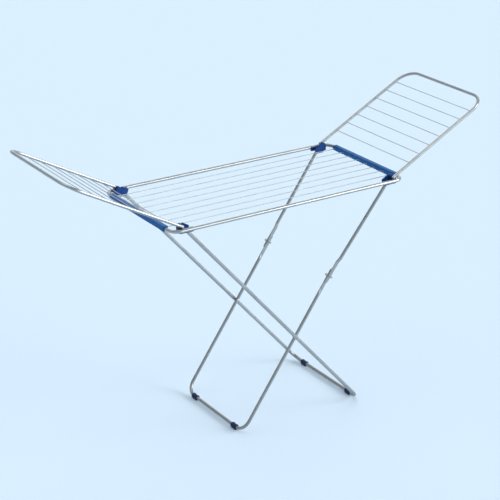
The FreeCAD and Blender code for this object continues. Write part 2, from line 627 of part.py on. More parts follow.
def foot(name, along, offset, bar_radius):
    """A plastic foot clip round a foot bar: two rims, a waist and a flat sole."""
    low = f"{offset} - Sizes.foot_length / 2"
    high = f"{offset} + Sizes.foot_length / 2"
    up = "Sizes.foot_bar_height"
    waist = round_bar(name + "_waist", along, up, low, high, "Sizes.foot_waist_radius")
    low_rim = round_bar(name + "_low_rim", along, up, low, f"{low} + Sizes.foot_rim_width",
                        "Sizes.foot_rim_radius")
    high_rim = round_bar(name + "_high_rim", along, up, f"{high} - Sizes.foot_rim_width", high,
                         "Sizes.foot_rim_radius")
    sole = doc.addObject("Part::Box", name + "_sole")
    sole.setExpression("Length", "Sizes.foot_pad_width")
    sole.setExpression("Width", "Sizes.foot_length")
    sole.setExpression("Height", "Sizes.foot_pad_height")
    sole.setExpression("Placement.Base.x", f"{along} - Sizes.foot_pad_width / 2")
    sole.setExpression("Placement.Base.y", low)
    bore = round_bar(name + "_bore", along, up, low, high, f"{bar_radius} + Sizes.spigot_slack")
    return cut(name, fused(name + "_body", [waist, low_rim, high_rim, sole]), bore)


def feet(prefix, along, offset, bar_radius):
    far = keep(foot(f"{prefix}_foot_far", along, offset, bar_radius), f"{prefix}_foot_far")
    keep(mirrored(f"{prefix}_foot_near", far, BODY_AXIS_ACROSS), f"{prefix}_foot_near")


# ---------------------------------------------------------------- legs

def outer_leg():
    """The U-shaped outer leg, hinged on the left brackets."""
    angle = -number_of(OUTER_SLOPE)
    downwards = slanted(FreeCAD.Vector(0, 0, 0), angle).multVec(AXIS_ALONG)
    pivot = spot("-Sizes.leg_pivot_reach", "0", PIVOT_UP)
    mouth = slanted(pivot - downwards * number_of("Sizes.leg_tail"), angle)
    tube = u_tube("outer_leg_tube", f"{OUTER_LENGTH} + Sizes.leg_tail", "Sizes.leg_top_half_gap",
                  "Sizes.outer_foot_half_gap", "Sizes.leg_bend", "Sizes.rail_diameter",
                  (("Sizes.leg_tail", RUNNING_BORE),
                   (f"{CROSS_ON_OUTER} + Sizes.leg_tail", "Sizes.rivet_diameter")))
    tube.Placement = mouth
    keep(tube, "outer_leg_tube")
    plugs("outer_leg_plugs", [(mouth, "Sizes.leg_top_half_gap")], "Sizes.rail_diameter")
    feet("outer", "Sizes.outer_foot_reach", "Sizes.outer_foot_offset", FRAME_RADIUS)

    inner_face = f"{OUTER_HALF_AT_CROSS} - {FRAME_RADIUS} - Sizes.head_gap"
    outer_face = f"{OUTER_HALF_AT_CROSS} + {FRAME_RADIUS} + Sizes.head_gap"
    washer_end = f"{inner_face} - Sizes.washer_thickness"
    shank = round_bar("outer_cross_shank", CROSS_X, CROSS_Z, washer_end, outer_face, RIVET_RADIUS)
    head = rivet_head("outer_cross_head", CROSS_X, CROSS_Z, outer_face, outwards=True)
    both_sides("outer_cross_rivets", fused("outer_cross_far", [shank, head]))
    washer = ring("outer_cross_washer", CROSS_X, CROSS_Z, washer_end, inner_face,
                  "Sizes.washer_radius", RIVET_RADIUS)
    both_sides("outer_cross_washers", washer)


def lying_along(name, kind, base, turn):
    """A Part primitive whose own Z axis is turned to a direction of the rack, from a base."""
    solid = doc.addObject(kind, name)
    solid.Placement = FreeCAD.Placement(base, turn)
    return solid


def flat_end(name, knee, angle, across, past, before):
    """The flattened end of a leg tube: a flat plate with a round end past the knee."""
    thickness = "Sizes.knee_flat_thickness"
    plate = doc.addObject("Part::Box", name + "_plate")
    plate.setExpression("Length", f"{past} + {before} - Sizes.knee_flat_width / 2")
    plate.setExpression("Width", thickness)
    plate.setExpression("Height", "Sizes.knee_flat_width")
    corner = FreeCAD.Vector(-number_of(before), number_of(f"{across} - {thickness} / 2"),
                            -number_of("Sizes.knee_flat_width / 2"))
    turn = slanted(knee, angle)
    plate.Placement = turn * FreeCAD.Placement(corner, FreeCAD.Rotation())
    tip = doc.addObject("Part::Cylinder", name + "_tip")
    tip.setExpression("Radius", "Sizes.knee_flat_width / 2")
    tip.setExpression("Height", thickness)
    centre = FreeCAD.Vector(number_of(f"{past} - Sizes.knee_flat_width / 2"), corner.y, 0)
    tip.Placement = turn * FreeCAD.Placement(centre, FreeCAD.Rotation(AXIS_ALONG, -90))
    return fused(name, [plate, tip])


def upper_leg():
    """The two short tubes of the inner leg, from the right brackets to the flattened knee."""
    angle = 180 + number_of(UPPER_SLOPE)
    pivot = spot("Sizes.leg_pivot_reach", "Sizes.upper_top_half_gap", PIVOT_UP)
    knee = spot(KNEE_X, "Sizes.upper_knee_half_gap", KNEE_Z)
    downwards = (knee - pivot).normalize()
    turn = FreeCAD.Rotation(FreeCAD.Vector(0, 0, 1), downwards)
    mouth = pivot - downwards * number_of("Sizes.leg_tail")
    length = f"{UPPER_LENGTH} + Sizes.leg_tail - Sizes.knee_flat_length"
    outside = lying_along("upper_tube_outside", "Part::Cylinder", mouth, turn)
    outside.setExpression("Radius", INNER_RADIUS)
    outside.setExpression("Height", length)
    inside = lying_along("upper_tube_inside", "Part::Cylinder", mouth, turn)
    inside.setExpression("Radius", f"{INNER_RADIUS} - Sizes.tube_wall")
    inside.setExpression("Height", f"{length} - Sizes.tube_wall")
    flat = flat_end("upper_flat", spot(KNEE_X, "0", KNEE_Z), angle, "Sizes.upper_flat_half_gap",
                    "Sizes.knee_overlap", "Sizes.knee_flat_length + Sizes.tube_wall")
    leg = fused("upper_leg_solid", [cut("upper_tube", outside, inside), flat])
    top_bore = round_bar("upper_top_bore", "Sizes.leg_pivot_reach", PIVOT_UP, "0",
                         "2 * Sizes.rail_half_gap", f"({RUNNING_BORE}) / 2")
    knee_bore = round_bar("upper_knee_bore", KNEE_X, KNEE_Z, "0", "2 * Sizes.rail_half_gap", RIVET_RADIUS)
    far = keep(cut("upper_leg_far", leg, fused("upper_bores", [top_bore, knee_bore])), "upper_leg_far")
    keep(mirrored("upper_leg_near", far, BODY_AXIS_ACROSS), "upper_leg_near")
    plugs("upper_leg_plugs", [(FreeCAD.Placement(mouth, slanted(mouth, angle).Rotation), "0")],
          "Sizes.inner_leg_diameter")

    thickness = "Sizes.knee_flat_thickness"
    faces = (("outer", f"Sizes.upper_flat_half_gap + {thickness} / 2", "+", True),
             ("inner", f"Sizes.lower_flat_half_gap - {thickness} / 2 - Sizes.head_gap", "-", False))
    shank = round_bar("knee_shank", KNEE_X, KNEE_Z, f"{faces[1][1]} - Sizes.knee_standoff",
                      f"{faces[0][1]} + Sizes.knee_standoff", RIVET_RADIUS)
    rivet = [shank]
    spacers = []
    for side, face, sign, outwards in faces:
        seat = f"{face} {sign} Sizes.knee_standoff"
        rivet.append(rivet_head(f"knee_{side}_head", KNEE_X, KNEE_Z, seat, outwards, "knee"))
        low, high = (face, seat) if outwards else (seat, face)
        spacers.append(ring(f"knee_{side}_spacer", KNEE_X, KNEE_Z, low, high, "Sizes.spacer_radius",
                            RIVET_RADIUS))
    both_sides("knee_rivets", fused("knee_rivet_far", rivet))
    images = [mirrored(spacer.Name + "_near", spacer, BODY_AXIS_ACROSS) for spacer in spacers]
    grouped("knee_spacers", spacers + images)


def lower_leg():
    """The lower part of the inner leg: a U of tube whose two ends are flattened at the knee."""
    angle = 180 + number_of(LOWER_SLOPE)
    downwards = slanted(FreeCAD.Vector(0, 0, 0), angle).multVec(AXIS_ALONG)
    knee = spot(KNEE_X, "0", KNEE_Z)
    mouth = slanted(knee + downwards * number_of("Sizes.knee_flat_length"), angle)
    tube = u_tube("lower_tube", "Sizes.knee_distance - Sizes.knee_flat_length",
                  "Sizes.lower_leg_half_gap", "Sizes.lower_leg_half_gap", "Sizes.leg_bend",
                  "Sizes.inner_leg_diameter",
                  ((f"Sizes.knee_distance - Sizes.knee_flat_length - {CROSS_ON_LOWER}",
                    "Sizes.rivet_diameter"),))
    tube.Placement = mouth
    flat = flat_end("lower_flat", knee, angle + 180, "Sizes.lower_flat_half_gap",
                    "Sizes.knee_overlap", "Sizes.knee_flat_length + 3 * Sizes.tube_wall")
    bore = round_bar("lower_knee_bore", KNEE_X, KNEE_Z, "-2 * Sizes.rail_half_gap",
                     "2 * Sizes.rail_half_gap", f"({RUNNING_BORE}) / 2")
    solid = fused("lower_leg_solid", [tube, flat, mirrored("lower_flat_near", flat, BODY_AXIS_ACROSS)])
    keep(cut("lower_leg_tube", solid, bore), "lower_leg_tube")
    feet("lower", "-Sizes.inner_foot_reach", "Sizes.inner_foot_offset", INNER_RADIUS)

    inner_face = f"Sizes.lower_leg_half_gap - {INNER_RADIUS} - Sizes.head_gap"
    collar_start = f"Sizes.lower_leg_half_gap + {INNER_RADIUS} + Sizes.spigot_slack"
    collar_end = f"{collar_start} + Sizes.collar_thickness"
    shank = round_bar("inner_cross_shank", CROSS_X, CROSS_Z, inner_face, collar_end, RIVET_RADIUS)
    collar = round_bar("inner_cross_collar", CROSS_X, CROSS_Z, collar_start, collar_end,
                       "Sizes.washer_radius")
    head = rivet_head("inner_cross_head", CROSS_X, CROSS_Z, inner_face, outwards=False)
    both_sides("inner_cross_rivets", fused("inner_cross_far", [shank, collar, head]))


# ---------------------------------------------------------------- the whole rack

frame_half("frame_right_half", 0)
frame_half("frame_left_half", 180)
rail_spigots()
main_wires()
end_strip()
corner_brackets()
leg_pins("leg_pins_left", -1)
leg_pins("leg_pins_right", 1)
wing_pins("wing_pins_left", -1)
wing_pins("wing_pins_right", 1)
wing("left", -1)
wing("right", 1)
outer_leg()
upper_leg()
lower_leg()
doc.recompute()

for item in doc.Objects:
    if "Invalid" in item.State or "Error" in item.State:
        raise RuntimeError(f"{item.Name} did not compute: {item.State}")
for piece in pieces:
    if piece.Shape.isNull() or not piece.Shape.isValid():
        raise RuntimeError(f"{piece.Label} has no valid shape")

os.makedirs("parts", exist_ok=True)
for piece in pieces:
    piece.Shape.exportStep(f"parts/{piece.Label}.step")
    print(f"{piece.Label}: {len(piece.Shape.Solids)} solids, {piece.Shape.Volume / 1000:.2f} cm3")
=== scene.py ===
"""The looks of a folding clothes airer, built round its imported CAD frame.

Metres. +X runs along the rack, +Y across it to the far side, +Z up, the floor at zero.
Every length comes from the frame's node boxes and joints, or from the list of sizes below,
which gives what a box can't tell: bend radii, walls, clearances and small trim. FIT is the
slack between a tube and the plastic round it, EDGE the easing of a small rim, and TIP the
radius at which a turned part closes on its axis. The eased edges of one part are named in
that part's own function.
"""
import json
import math
import bmesh
import bpy
from mathutils import Matrix, Quaternion, Vector

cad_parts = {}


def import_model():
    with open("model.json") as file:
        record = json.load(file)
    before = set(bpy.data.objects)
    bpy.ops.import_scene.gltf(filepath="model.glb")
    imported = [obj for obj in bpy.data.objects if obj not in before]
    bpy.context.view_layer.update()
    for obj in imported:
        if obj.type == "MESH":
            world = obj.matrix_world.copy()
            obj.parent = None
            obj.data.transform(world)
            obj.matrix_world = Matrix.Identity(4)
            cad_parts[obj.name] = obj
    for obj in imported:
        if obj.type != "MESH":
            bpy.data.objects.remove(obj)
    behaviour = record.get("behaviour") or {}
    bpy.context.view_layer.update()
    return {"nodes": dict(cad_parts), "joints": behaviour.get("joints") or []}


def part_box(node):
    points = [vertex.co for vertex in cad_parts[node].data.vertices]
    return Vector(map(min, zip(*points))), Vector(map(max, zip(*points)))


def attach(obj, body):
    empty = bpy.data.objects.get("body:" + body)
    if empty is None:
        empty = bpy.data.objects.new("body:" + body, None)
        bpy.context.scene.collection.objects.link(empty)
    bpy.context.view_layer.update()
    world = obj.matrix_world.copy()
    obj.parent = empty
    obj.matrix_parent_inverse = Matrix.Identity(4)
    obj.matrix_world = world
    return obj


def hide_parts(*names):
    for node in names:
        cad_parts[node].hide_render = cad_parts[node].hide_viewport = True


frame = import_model()

# ---------------------------------------------------------------- sizes

ALONG = Vector((1, 0, 0))
ACROSS = Vector((0, 1, 0))
UP = Vector((0, 0, 1))
SIDES = (("far", 1), ("near", -1))
ENDS = (("right", 1), ("left", -1))

FIT = 0.00005
EDGE = 0.0003
TIP = 0.0001
TUBE_WALL = 0.001
FRAME_BEND = 0.038
WING_BEND = 0.070
LEG_BEND = 0.048
WIRE_RADIUS = 0.0015
BEAD_RADIUS = 0.0027
BEAD_LENGTH = 0.0035
OUTER_FOOT_HALF_GAP = 0.2225
UPPER_KNEE_HALF_GAP = 0.2155
UPPER_FLAT_HALF_GAP = 0.2135
LOWER_FLAT_HALF_GAP = 0.208
WING_RADIUS = 0.006
WING_TAIL = 0.0045
WING_PLUG_DEPTH = 0.0017
LEG_PLUG_DEPTH = 0.0032
WING_PIN_RADIUS = 0.0025
WING_PIN_HEAD_HEIGHT = 0.0018
WING_STOP_WIDTH = 0.0036
WING_STOP_BACK = 0.2425
WING_STOP_GAP = 0.0003
STOP_BEVEL = 0.0006
WING_BUTTON_RADIUS = 0.0048
LEG_BUTTON_RADIUS = 0.0054
PLATE_THICKNESS = 0.0035
PLATE_INNER = 0.437
PLATE_INNER_FOOT = 0.446
PLATE_OUTER_FOOT = 0.477
PLATE_OUTER = 0.4895
PLATE_PEAK = 0.466
PLATE_ABOVE = 0.0205
PLATE_SHOULDER = 0.0035
PLATE_ROUND = 0.003
HINGE_BOSS_END = 0.2346
PIN_START = 0.2204
WEB_START = 0.4695
SADDLE_END = 0.4885
SADDLE_FACE = 0.2374
SADDLE_ABOVE = 0.004
SADDLE_BELOW = 0.012
RIVET_LUG_RADIUS = 0.006
RIVET_LUG_END = 0.2414
WING_WIRES = 7
MAIN_WIRES = 8
INNER_LEG_RADIUS = 0.0065
LEG_TAIL = 0.010
SHANK_RADIUS = 0.00295
HEAD_GAP = 0.0002
RIVET_HEAD_RADIUS = 0.0065
RIVET_HEAD_HEIGHT = 0.0024
WASHER_RADIUS = 0.0075
WASHER_THICKNESS = 0.0016
COLLAR_THICKNESS = 0.0014
KNEE_STANDOFF = 0.010
KNOB_RADIUS = 0.0055
KNOB_HEIGHT = 0.005
SLEEVE_RADIUS = 0.0042
FOOT_WAIST_RADIUS = 0.0092
FOOT_RIM_WIDTH = 0.006
FOOT_SOLE_HALF_WIDTH = 0.0065
KNEE_OVERLAP = 0.030
KNEE_FLAT_HALF_WIDTH = 0.0075
KNEE_FLAT_HALF_THICKNESS = 0.0025
KNEE_ROUND_AGAIN = (0.060, 0.084)
FLAT_POWER = 4
ROUND_POWER = 2

TUBE_SIDES = 36
WIRE_SIDES = 14
CHANNEL_SIDES = 48
BEND_STEPS = 18
LATHE_SIDES = 40
FOOT_SIDES = 60
CORNER_STEPS = 5

BACKDROP_COLOUR = (0.68, 0.855, 0.99)
FLOOR_COLOUR = (0.66, 0.80, 0.93)
CEILING_COLOUR = (0.32, 0.34, 0.36)
DOME_SHADES = ((0.12, (0.58, 0.62, 0.65)), (0.38, (0.42, 0.45, 0.47)))
CAMERA_ANGLES = (-33.5965, 22.6298, 0.2962)
CAMERA_DISTANCE = 6.2208
CAMERA_TARGET = Vector((-0.0267, 0, 0.6715))
CAMERA_LENS = 114.85


def neat(value):
    """A length from a node's box without the small error of its facets."""
    return round(value, 4)


def node_size(node, axis):
    low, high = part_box(node)
    return neat(high[axis] - low[axis])


def pivot_of(joint_name):
    return next(Vector(joint["pos_m"]) for joint in frame["joints"] if joint["name"] == joint_name)


frame_low, frame_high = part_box("frame_right_half")
RAIL_RADIUS = node_size("frame_right_half", 2) / 2
RAIL_Z = neat((frame_low.z + frame_high.z) / 2)
RAIL_HALF_GAP = neat(frame_high.y) - RAIL_RADIUS
END_BAR_X = neat(frame_high.x) - RAIL_RADIUS
HALF_JOINT_GAP = neat(frame_low.x)

WING_PIVOT = pivot_of("right_wing_fold")
LEFT_LEG_PIVOT = pivot_of("leg_fold")
RIGHT_LEG_PIVOT = pivot_of("upper_leg_fold")
KNEE = pivot_of("knee_fold")
WING_HALF_GAP = neat(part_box("wing_tube_right")[1].y) - WING_RADIUS


# ---------------------------------------------------------------- mesh tools

class Shape:
    """Vertices and faces of one piece, gathered from one or more closed shells."""

    def __init__(self):
        self.points = []
        self.faces = []

    def add(self, points, faces, place=None):
        first = len(self.points)
        self.points += [place @ point if place else point for point in points]
        self.faces += [tuple(first + index for index in face) for face in faces]
        return self

    def mesh(self, name):
        """A mesh with its faces turned outwards, smooth but for its real edges."""
        mesh = bpy.data.meshes.new(name)
        mesh.from_pydata(self.points, [], self.faces)
        return settled(mesh)


def settled(mesh, crease=32):
    """Welds doubled points, turns the faces outwards and keeps edges over crease degrees sharp."""
    work = bmesh.new()
    work.from_mesh(mesh)
    bmesh.ops.remove_doubles(work, verts=work.verts, dist=1e-6)
    bmesh.ops.dissolve_degenerate(work, edges=work.edges, dist=1e-6)
    bmesh.ops.recalc_face_normals(work, faces=work.faces)
    work.to_mesh(mesh)
    work.free()
    mesh.shade_smooth()
    mesh.set_sharp_from_angle(angle=math.radians(crease))
    return mesh


def piece(name, mesh, body, slot, replaces):
    """An object that rides on a body, has its slot's material and stands for CAD nodes."""
    thing = bpy.data.objects.new(name, mesh)
    bpy.context.scene.collection.objects.link(thing)
    mesh.materials.clear()
    mesh.materials.append(MATERIALS[slot])
    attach(thing, body)
    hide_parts(*replaces)
    return thing


def skin(rings, closed_loop=False):
    """Points and faces through rings of equally many points: capped ends, or a closed loop."""
    count = len(rings[0])
    points = [point for ring in rings for point in ring]
    faces = []
    last = len(rings) if closed_loop else len(rings) - 1
    for row in range(last):
        here = row * count
        there = (row + 1) % len(rings) * count
        for index in range(count):
            after = (index + 1) % count
            faces.append((here + index, here + after, there + after, there + index))
    if not closed_loop:
        faces.append(tuple(reversed(range(count))))
        faces.append(tuple(range(len(points) - count, len(points))))
    return points, faces


def rounded(corners, radius, steps=CORNER_STEPS):
    """A closed 2D outline with every corner turned into an arc. A corner may give its own radius."""
    outline = []
    count = len(corners)
    for index, corner in enumerate(corners):
        here = Vector(corner[:2])
        own = corner[2] if len(corner) > 2 else radius
        if own == 0:
            outline.append(here)
            continue
        back = Vector(corners[index - 1][:2]) - here
        ahead = Vector(corners[(index + 1) % count][:2]) - here
        half = back.angle(ahead) / 2
        reach = min(own / math.tan(half), 0.49 * back.length, 0.49 * ahead.length)
        own = reach * math.tan(half)
        middle = (back.normalized() + ahead.normalized()).normalized()
        centre = here + middle * (own / math.sin(half))
        start = here + back.normalized() * reach - centre
        turn = start.angle_signed(here + ahead.normalized() * reach - centre)
        for step in range(steps + 1):
            outline.append(centre + Matrix.Rotation(-turn * step / steps, 2) @ start)
    return outline


def inset(outline, distance):
    """The outline moved inwards by a distance, for an outline that runs anticlockwise."""
    sharpest = 0.3
    moved = []
    count = len(outline)
    for index, point in enumerate(outline):
        back = (point - outline[index - 1]).normalized()
        ahead = (outline[(index + 1) % count] - point).normalized()
        normal = Vector((-(back.y + ahead.y), back.x + ahead.x)).normalized()
        moved.append(point + normal * (distance / max(sharpest, normal.dot(Vector((-back.y, back.x))))))
    return moved


def slab(outline, low, high, bevel, steps=3):
    """A plate with rounded edges: an outline in the XZ plane, from low to high across the rack."""
    levels = []
    for step in range(steps + 1):
        angle = math.pi / 2 * step / steps
        levels.append((low + bevel * (1 - math.cos(angle)), bevel * (1 - math.sin(angle))))
    levels += [(high + low - level, depth) for level, depth in reversed(levels)]
    rings = []
    for level, depth in levels:
        ring = inset(outline, depth) if depth > 0 else outline
        rings.append([Vector((point.x, level, point.y)) for point in ring])
    return skin(rings)


def lathe(profile, centre, axis=ACROSS, sides=LATHE_SIDES):
    """The rings of a turned solid: profile points are (distance along the axis, radius)."""
    turn = UP.rotation_difference(axis)
    place = Matrix.Translation(centre) @ turn.to_matrix().to_4x4()
    rings = []
    for distance, radius in profile:
        rings.append([place @ Vector((radius * math.cos(2 * math.pi * index / sides),
                                      radius * math.sin(2 * math.pi * index / sides), distance))
                      for index in range(sides)])
    return rings


def turned(profile, centre, axis=ACROSS, sides=LATHE_SIDES):
    """A turned solid whose profile starts and ends at its two flat or pointed ends."""
    return skin(lathe(profile, centre, axis, sides))


def bush(low, high, radius, hole, centre, rim=EDGE):
    """A washer or a sleeve with eased rims, from low to high along the rack's width."""
    profile = ((low, hole), (low, radius - rim), (low + rim, radius), (high - rim, radius),
               (high, radius - rim), (high, hole))
    return skin(lathe(profile, centre), closed_loop=True)


def dome(face, radius, height, outwards, rim=0.0006, steps=6):
    """Profile of a rivet's domed head that stands on a face: from the face to the crown."""
    crown_share = 0.18
    fullness = 0.7
    sign = 1 if outwards else -1
    points = [(face, radius - rim / 2), (face + sign * rim / 2, radius)]
    for step in range(steps + 1):
        angle = math.pi / 2 * step / steps
        bulge = rim + (height - rim) * math.sin(angle)
        spread = crown_share + (1 - crown_share) * math.cos(angle) ** fullness
        points.append((face + sign * bulge, radius * spread))
    points.append((face + sign * height, TIP))
    return points


def mirrored(mesh, normal, name):
    """The mirror image of a mesh in a plane through the origin."""
    image = mesh.copy()
    image.name = name
    image.transform(Matrix.Scale(-1, 4, normal))
    image.flip_normals()
    return image


def on_both_sides(points_and_faces):
    """A shape of two shells: one on the far side and its image on the near side."""
    points, faces = points_and_faces
    flip = Matrix.Scale(-1, 4, ACROSS)
    return Shape().add(points, faces).add(points, faces, flip)


def carved(name, solids, cutters):
    """One mesh: the first solid joined with the others, with the cutters taken away."""
    things = []
    for index, (points, faces) in enumerate(solids + cutters):
        thing = bpy.data.objects.new(f"{name}_{index}", Shape().add(points, faces).mesh(name))
        bpy.context.scene.collection.objects.link(thing)
        things.append(thing)
    for index, thing in enumerate(things[1:], start=1):
        step = things[0].modifiers.new(thing.name, "BOOLEAN")
        step.operation = "UNION" if index < len(solids) else "DIFFERENCE"
        step.solver = "EXACT"
        step.object = thing
    seen = things[0].evaluated_get(bpy.context.evaluated_depsgraph_get())
    mesh = bpy.data.meshes.new_from_object(seen)
    for thing in things:
        bpy.data.objects.remove(thing)
    return mesh


# ---------------------------------------------------------------- materials

class Finish:
    """A procedural material whose patterns lie in the object's own coordinates."""

    def __init__(self, name, **sockets):
        self.material = bpy.data.materials.new(name)
        self.material.use_nodes = True
        self.tree = self.material.node_tree
        self.shader = self.tree.nodes["Principled BSDF"]
        for socket, value in sockets.items():
            self.shader.inputs[socket.replace("_", " ").title().replace("Ior", "IOR")].default_value = value
        self.place = self.tree.nodes.new("ShaderNodeTexCoord").outputs["Object"]

    def noise(self, size, detail=2, roughness=0.5, stretch=None):
        """Noise whose features are about that many metres across."""
        place = self.place
        if stretch:
            mapping = self.tree.nodes.new("ShaderNodeMapping")
            mapping.inputs["Scale"].default_value = stretch
            self.tree.links.new(place, mapping.inputs["Vector"])
            place = mapping.outputs["Vector"]
        node = self.tree.nodes.new("ShaderNodeTexNoise")
        node.inputs["Scale"].default_value = 1 / size
        node.inputs["Detail"].default_value = detail
        node.inputs["Roughness"].default_value = roughness
        self.tree.links.new(place, node.inputs["Vector"])
        return node.outputs["Fac"]

    def ramp(self, factor, *stops):
        """Colours along a factor: each stop is a place and a colour or a grey."""
        node = self.tree.nodes.new("ShaderNodeValToRGB")
        elements = node.color_ramp.elements
        while len(elements) < len(stops):
            elements.new(0.5)
        for element, (position, colour) in zip(elements, stops):
            element.position = position
            element.color = (*colour, 1) if hasattr(colour, "__len__") else (colour, colour, colour, 1)
        self.tree.links.new(factor, node.inputs["Fac"])
        return node.outputs["Color"]

    def height_mask(self, low, high):
        """One at the low height and nothing at the high one."""
        split = self.tree.nodes.new("ShaderNodeSeparateXYZ")
        self.tree.links.new(self.place, split.inputs["Vector"])
        node = self.tree.nodes.new("ShaderNodeMapRange")
        node.inputs["From Min"].default_value = high
        node.inputs["From Max"].default_value = low
        self.tree.links.new(split.outputs["Z"], node.inputs["Value"])
        return node.outputs["Result"]

    def mix(self, factor, first, second, kind="MIX"):
        node = self.tree.nodes.new("ShaderNodeMix")
        node.data_type = "RGBA"
        node.blend_type = kind
        for socket, value in ((node.inputs[0], factor), (node.inputs[6], first), (node.inputs[7], second)):
            if isinstance(value, bpy.types.NodeSocket):
                self.tree.links.new(value, socket)
            else:
                socket.default_value = value
        return node.outputs[2]

    def colour(self, source):
        self.tree.links.new(source, self.shader.inputs["Base Color"])
        return self

    def roughness(self, source):
        self.tree.links.new(source, self.shader.inputs["Roughness"])
        return self

    def relief(self, height, depth, strength=1.0):
        """Bumps of a depth in metres, on top of any relief that is already there."""
        node = self.tree.nodes.new("ShaderNodeBump")
        node.inputs["Distance"].default_value = depth
        node.inputs["Strength"].default_value = strength
        self.tree.links.new(height, node.inputs["Height"])
        before = self.shader.inputs["Normal"].links
        if before:
            self.tree.links.new(before[0].from_socket, node.inputs["Normal"])
        self.tree.links.new(node.outputs["Normal"], self.shader.inputs["Normal"])
        return self


def silver_tube():
    """Silver coating on steel tube: a satin sheen, faint orange peel and dust low on the legs."""
    finish = Finish("silver_tube", metallic=0.9, specular_ior_level=0.5)
    flake = finish.noise(0.0007, detail=3, roughness=0.7)
    cloud = finish.noise(0.09, detail=4)
    base = finish.ramp(cloud, (0.3, (0.37, 0.39, 0.395)), (0.7, (0.44, 0.46, 0.465)))
    sparkle = finish.ramp(flake, (0.35, 0.82), (0.65, 1.0))
    dusted = finish.mix(finish.height_mask(0.02, 0.12), finish.mix(1.0, base, sparkle, "MULTIPLY"),
                        (0.30, 0.31, 0.31, 1))
    finish.colour(dusted)
    finish.roughness(finish.ramp(finish.noise(0.03, detail=5), (0.25, 0.24), (0.75, 0.36)))
    finish.relief(finish.noise(0.0022, detail=2), 0.00004, 0.5)
    finish.relief(finish.noise(0.0006, detail=3), 0.00001, 0.4)
    return finish.material


def silver_wire():
    """The same coating on drawn wire, a little darker, with a faint ripple along it."""
    finish = Finish("silver_wire", metallic=0.75, specular_ior_level=0.5)
    tint = finish.noise(0.05, detail=4)
    finish.colour(finish.ramp(tint, (0.3, (0.34, 0.36, 0.37)), (0.7, (0.42, 0.44, 0.45))))
    finish.roughness(finish.ramp(finish.noise(0.012, detail=4), (0.3, 0.26), (0.7, 0.40)))
    finish.relief(finish.noise(0.0016, detail=3), 0.00005, 0.5)
    return finish.material


def moulded(name, deep, light, grain, gloss, scuff):
    """Moulded plastic: uneven pigment, a fine spark-eroded grain and pale scuffs."""
    finish = Finish(name, specular_ior_level=0.22)
    pigment = finish.ramp(finish.noise(0.02, detail=3), (0.3, deep), (0.7, light))
    scratches = finish.ramp(finish.noise(0.002, detail=6, roughness=0.75, stretch=(1, 0.12, 1)),
                            (0.66, 0.0), (0.74, scuff))
    worn = tuple(0.35 + 0.5 * channel for channel in light) + (1,)
    finish.colour(finish.mix(scratches, pigment, worn))
    finish.roughness(finish.ramp(finish.noise(0.006, detail=4), (0.3, gloss), (0.7, gloss + 0.14)))
    finish.relief(finish.noise(grain, detail=3, roughness=0.6), 0.00006, 0.5)
    return finish.material


def zinc_rivet():
    """Zinc-plated steel: small crystals and a bluish passivation tint."""
    finish = Finish("zinc_rivet", metallic=1.0)
    crystal = finish.noise(0.0012, detail=5, roughness=0.7)
    finish.colour(finish.ramp(crystal, (0.3, (0.36, 0.37, 0.39)), (0.7, (0.56, 0.57, 0.58))))
    finish.roughness(finish.ramp(crystal, (0.3, 0.22), (0.7, 0.42)))
    finish.relief(finish.noise(0.0005, detail=3), 0.00002, 0.5)
    return finish.material


MATERIALS = {
    "tube_silver": silver_tube(),
    "wire": silver_wire(),
    "strip_blue": moulded("strip_blue", (0.001, 0.082, 0.27), (0.002, 0.112, 0.35), 0.0006, 0.42, 0.35),
    "bracket_blue": moulded("bracket_blue", (0.002, 0.032, 0.14), (0.004, 0.050, 0.21), 0.0008, 0.40, 0.30),
    "foot_blue": moulded("foot_blue", (0.006, 0.018, 0.07), (0.010, 0.028, 0.10), 0.0010, 0.42, 0.5),
    "rivet_steel": zinc_rivet(),
    "washer_nylon": moulded("washer_nylon", (0.50, 0.51, 0.52), (0.58, 0.59, 0.60), 0.0007, 0.38, 0.1),
    "plug_grey": moulded("plug_grey", (0.17, 0.18, 0.19), (0.22, 0.23, 0.24), 0.0008, 0.40, 0.3),
}


# ---------------------------------------------------------------- tubes

def u_route(length, mouth_half, far_half, bend):
    """A U in its own plane: (out, sideways, heading) down one arm, round and back up the other."""
    lean = math.atan2(far_half - mouth_half, length)
    tangent = bend * math.tan((math.pi / 2 + lean) / 2)
    start = (0, mouth_half, lean)
    corner = []
    for step in range(BEND_STEPS + 1):
        angle = (math.pi / 2 + lean) * (1 - step / BEND_STEPS)
        corner.append((length - bend + bend * math.cos(angle), far_half - tangent + bend * math.sin(angle),
                       angle - math.pi / 2))
    there = [start] + corner
    back = [(out, -sideways, -math.pi - heading) for out, sideways, heading in reversed(there)]
    return there + back


def tube_rings(route, place, radius, mouth_ease=0.0):
    """Rings of a round tube along a flat route, its mouths drawn in a little when eased."""
    rings = []
    last = len(route) - 1
    for index, (out, sideways, heading) in enumerate(route):
        size = radius - mouth_ease if index in (0, last) else radius
        side = Vector((-math.sin(heading), math.cos(heading), 0))
        centre = Vector((out, sideways, 0))
        ring = []
        for corner in range(TUBE_SIDES):
            angle = 2 * math.pi * corner / TUBE_SIDES
            ring.append(place @ (centre + side * (size * math.cos(angle)) + UP * (size * math.sin(angle))))
        rings.append(ring)
    return rings


def hollow_tube(route, place, radius):
    """A tube with a wall: its outside there and its bore back, as one closed skin."""
    def stepped(point, distance):
        out, sideways, heading = point
        return out + distance * math.cos(heading), sideways + distance * math.sin(heading), heading

    start, *middle, finish = route
    eased = [start, stepped(start, EDGE)] + middle + [stepped(finish, -EDGE), finish]
    outside = tube_rings(eased, place, radius, EDGE)
    bore = tube_rings(route, place, radius - TUBE_WALL)
    return skin(outside + bore[::-1], closed_loop=True)


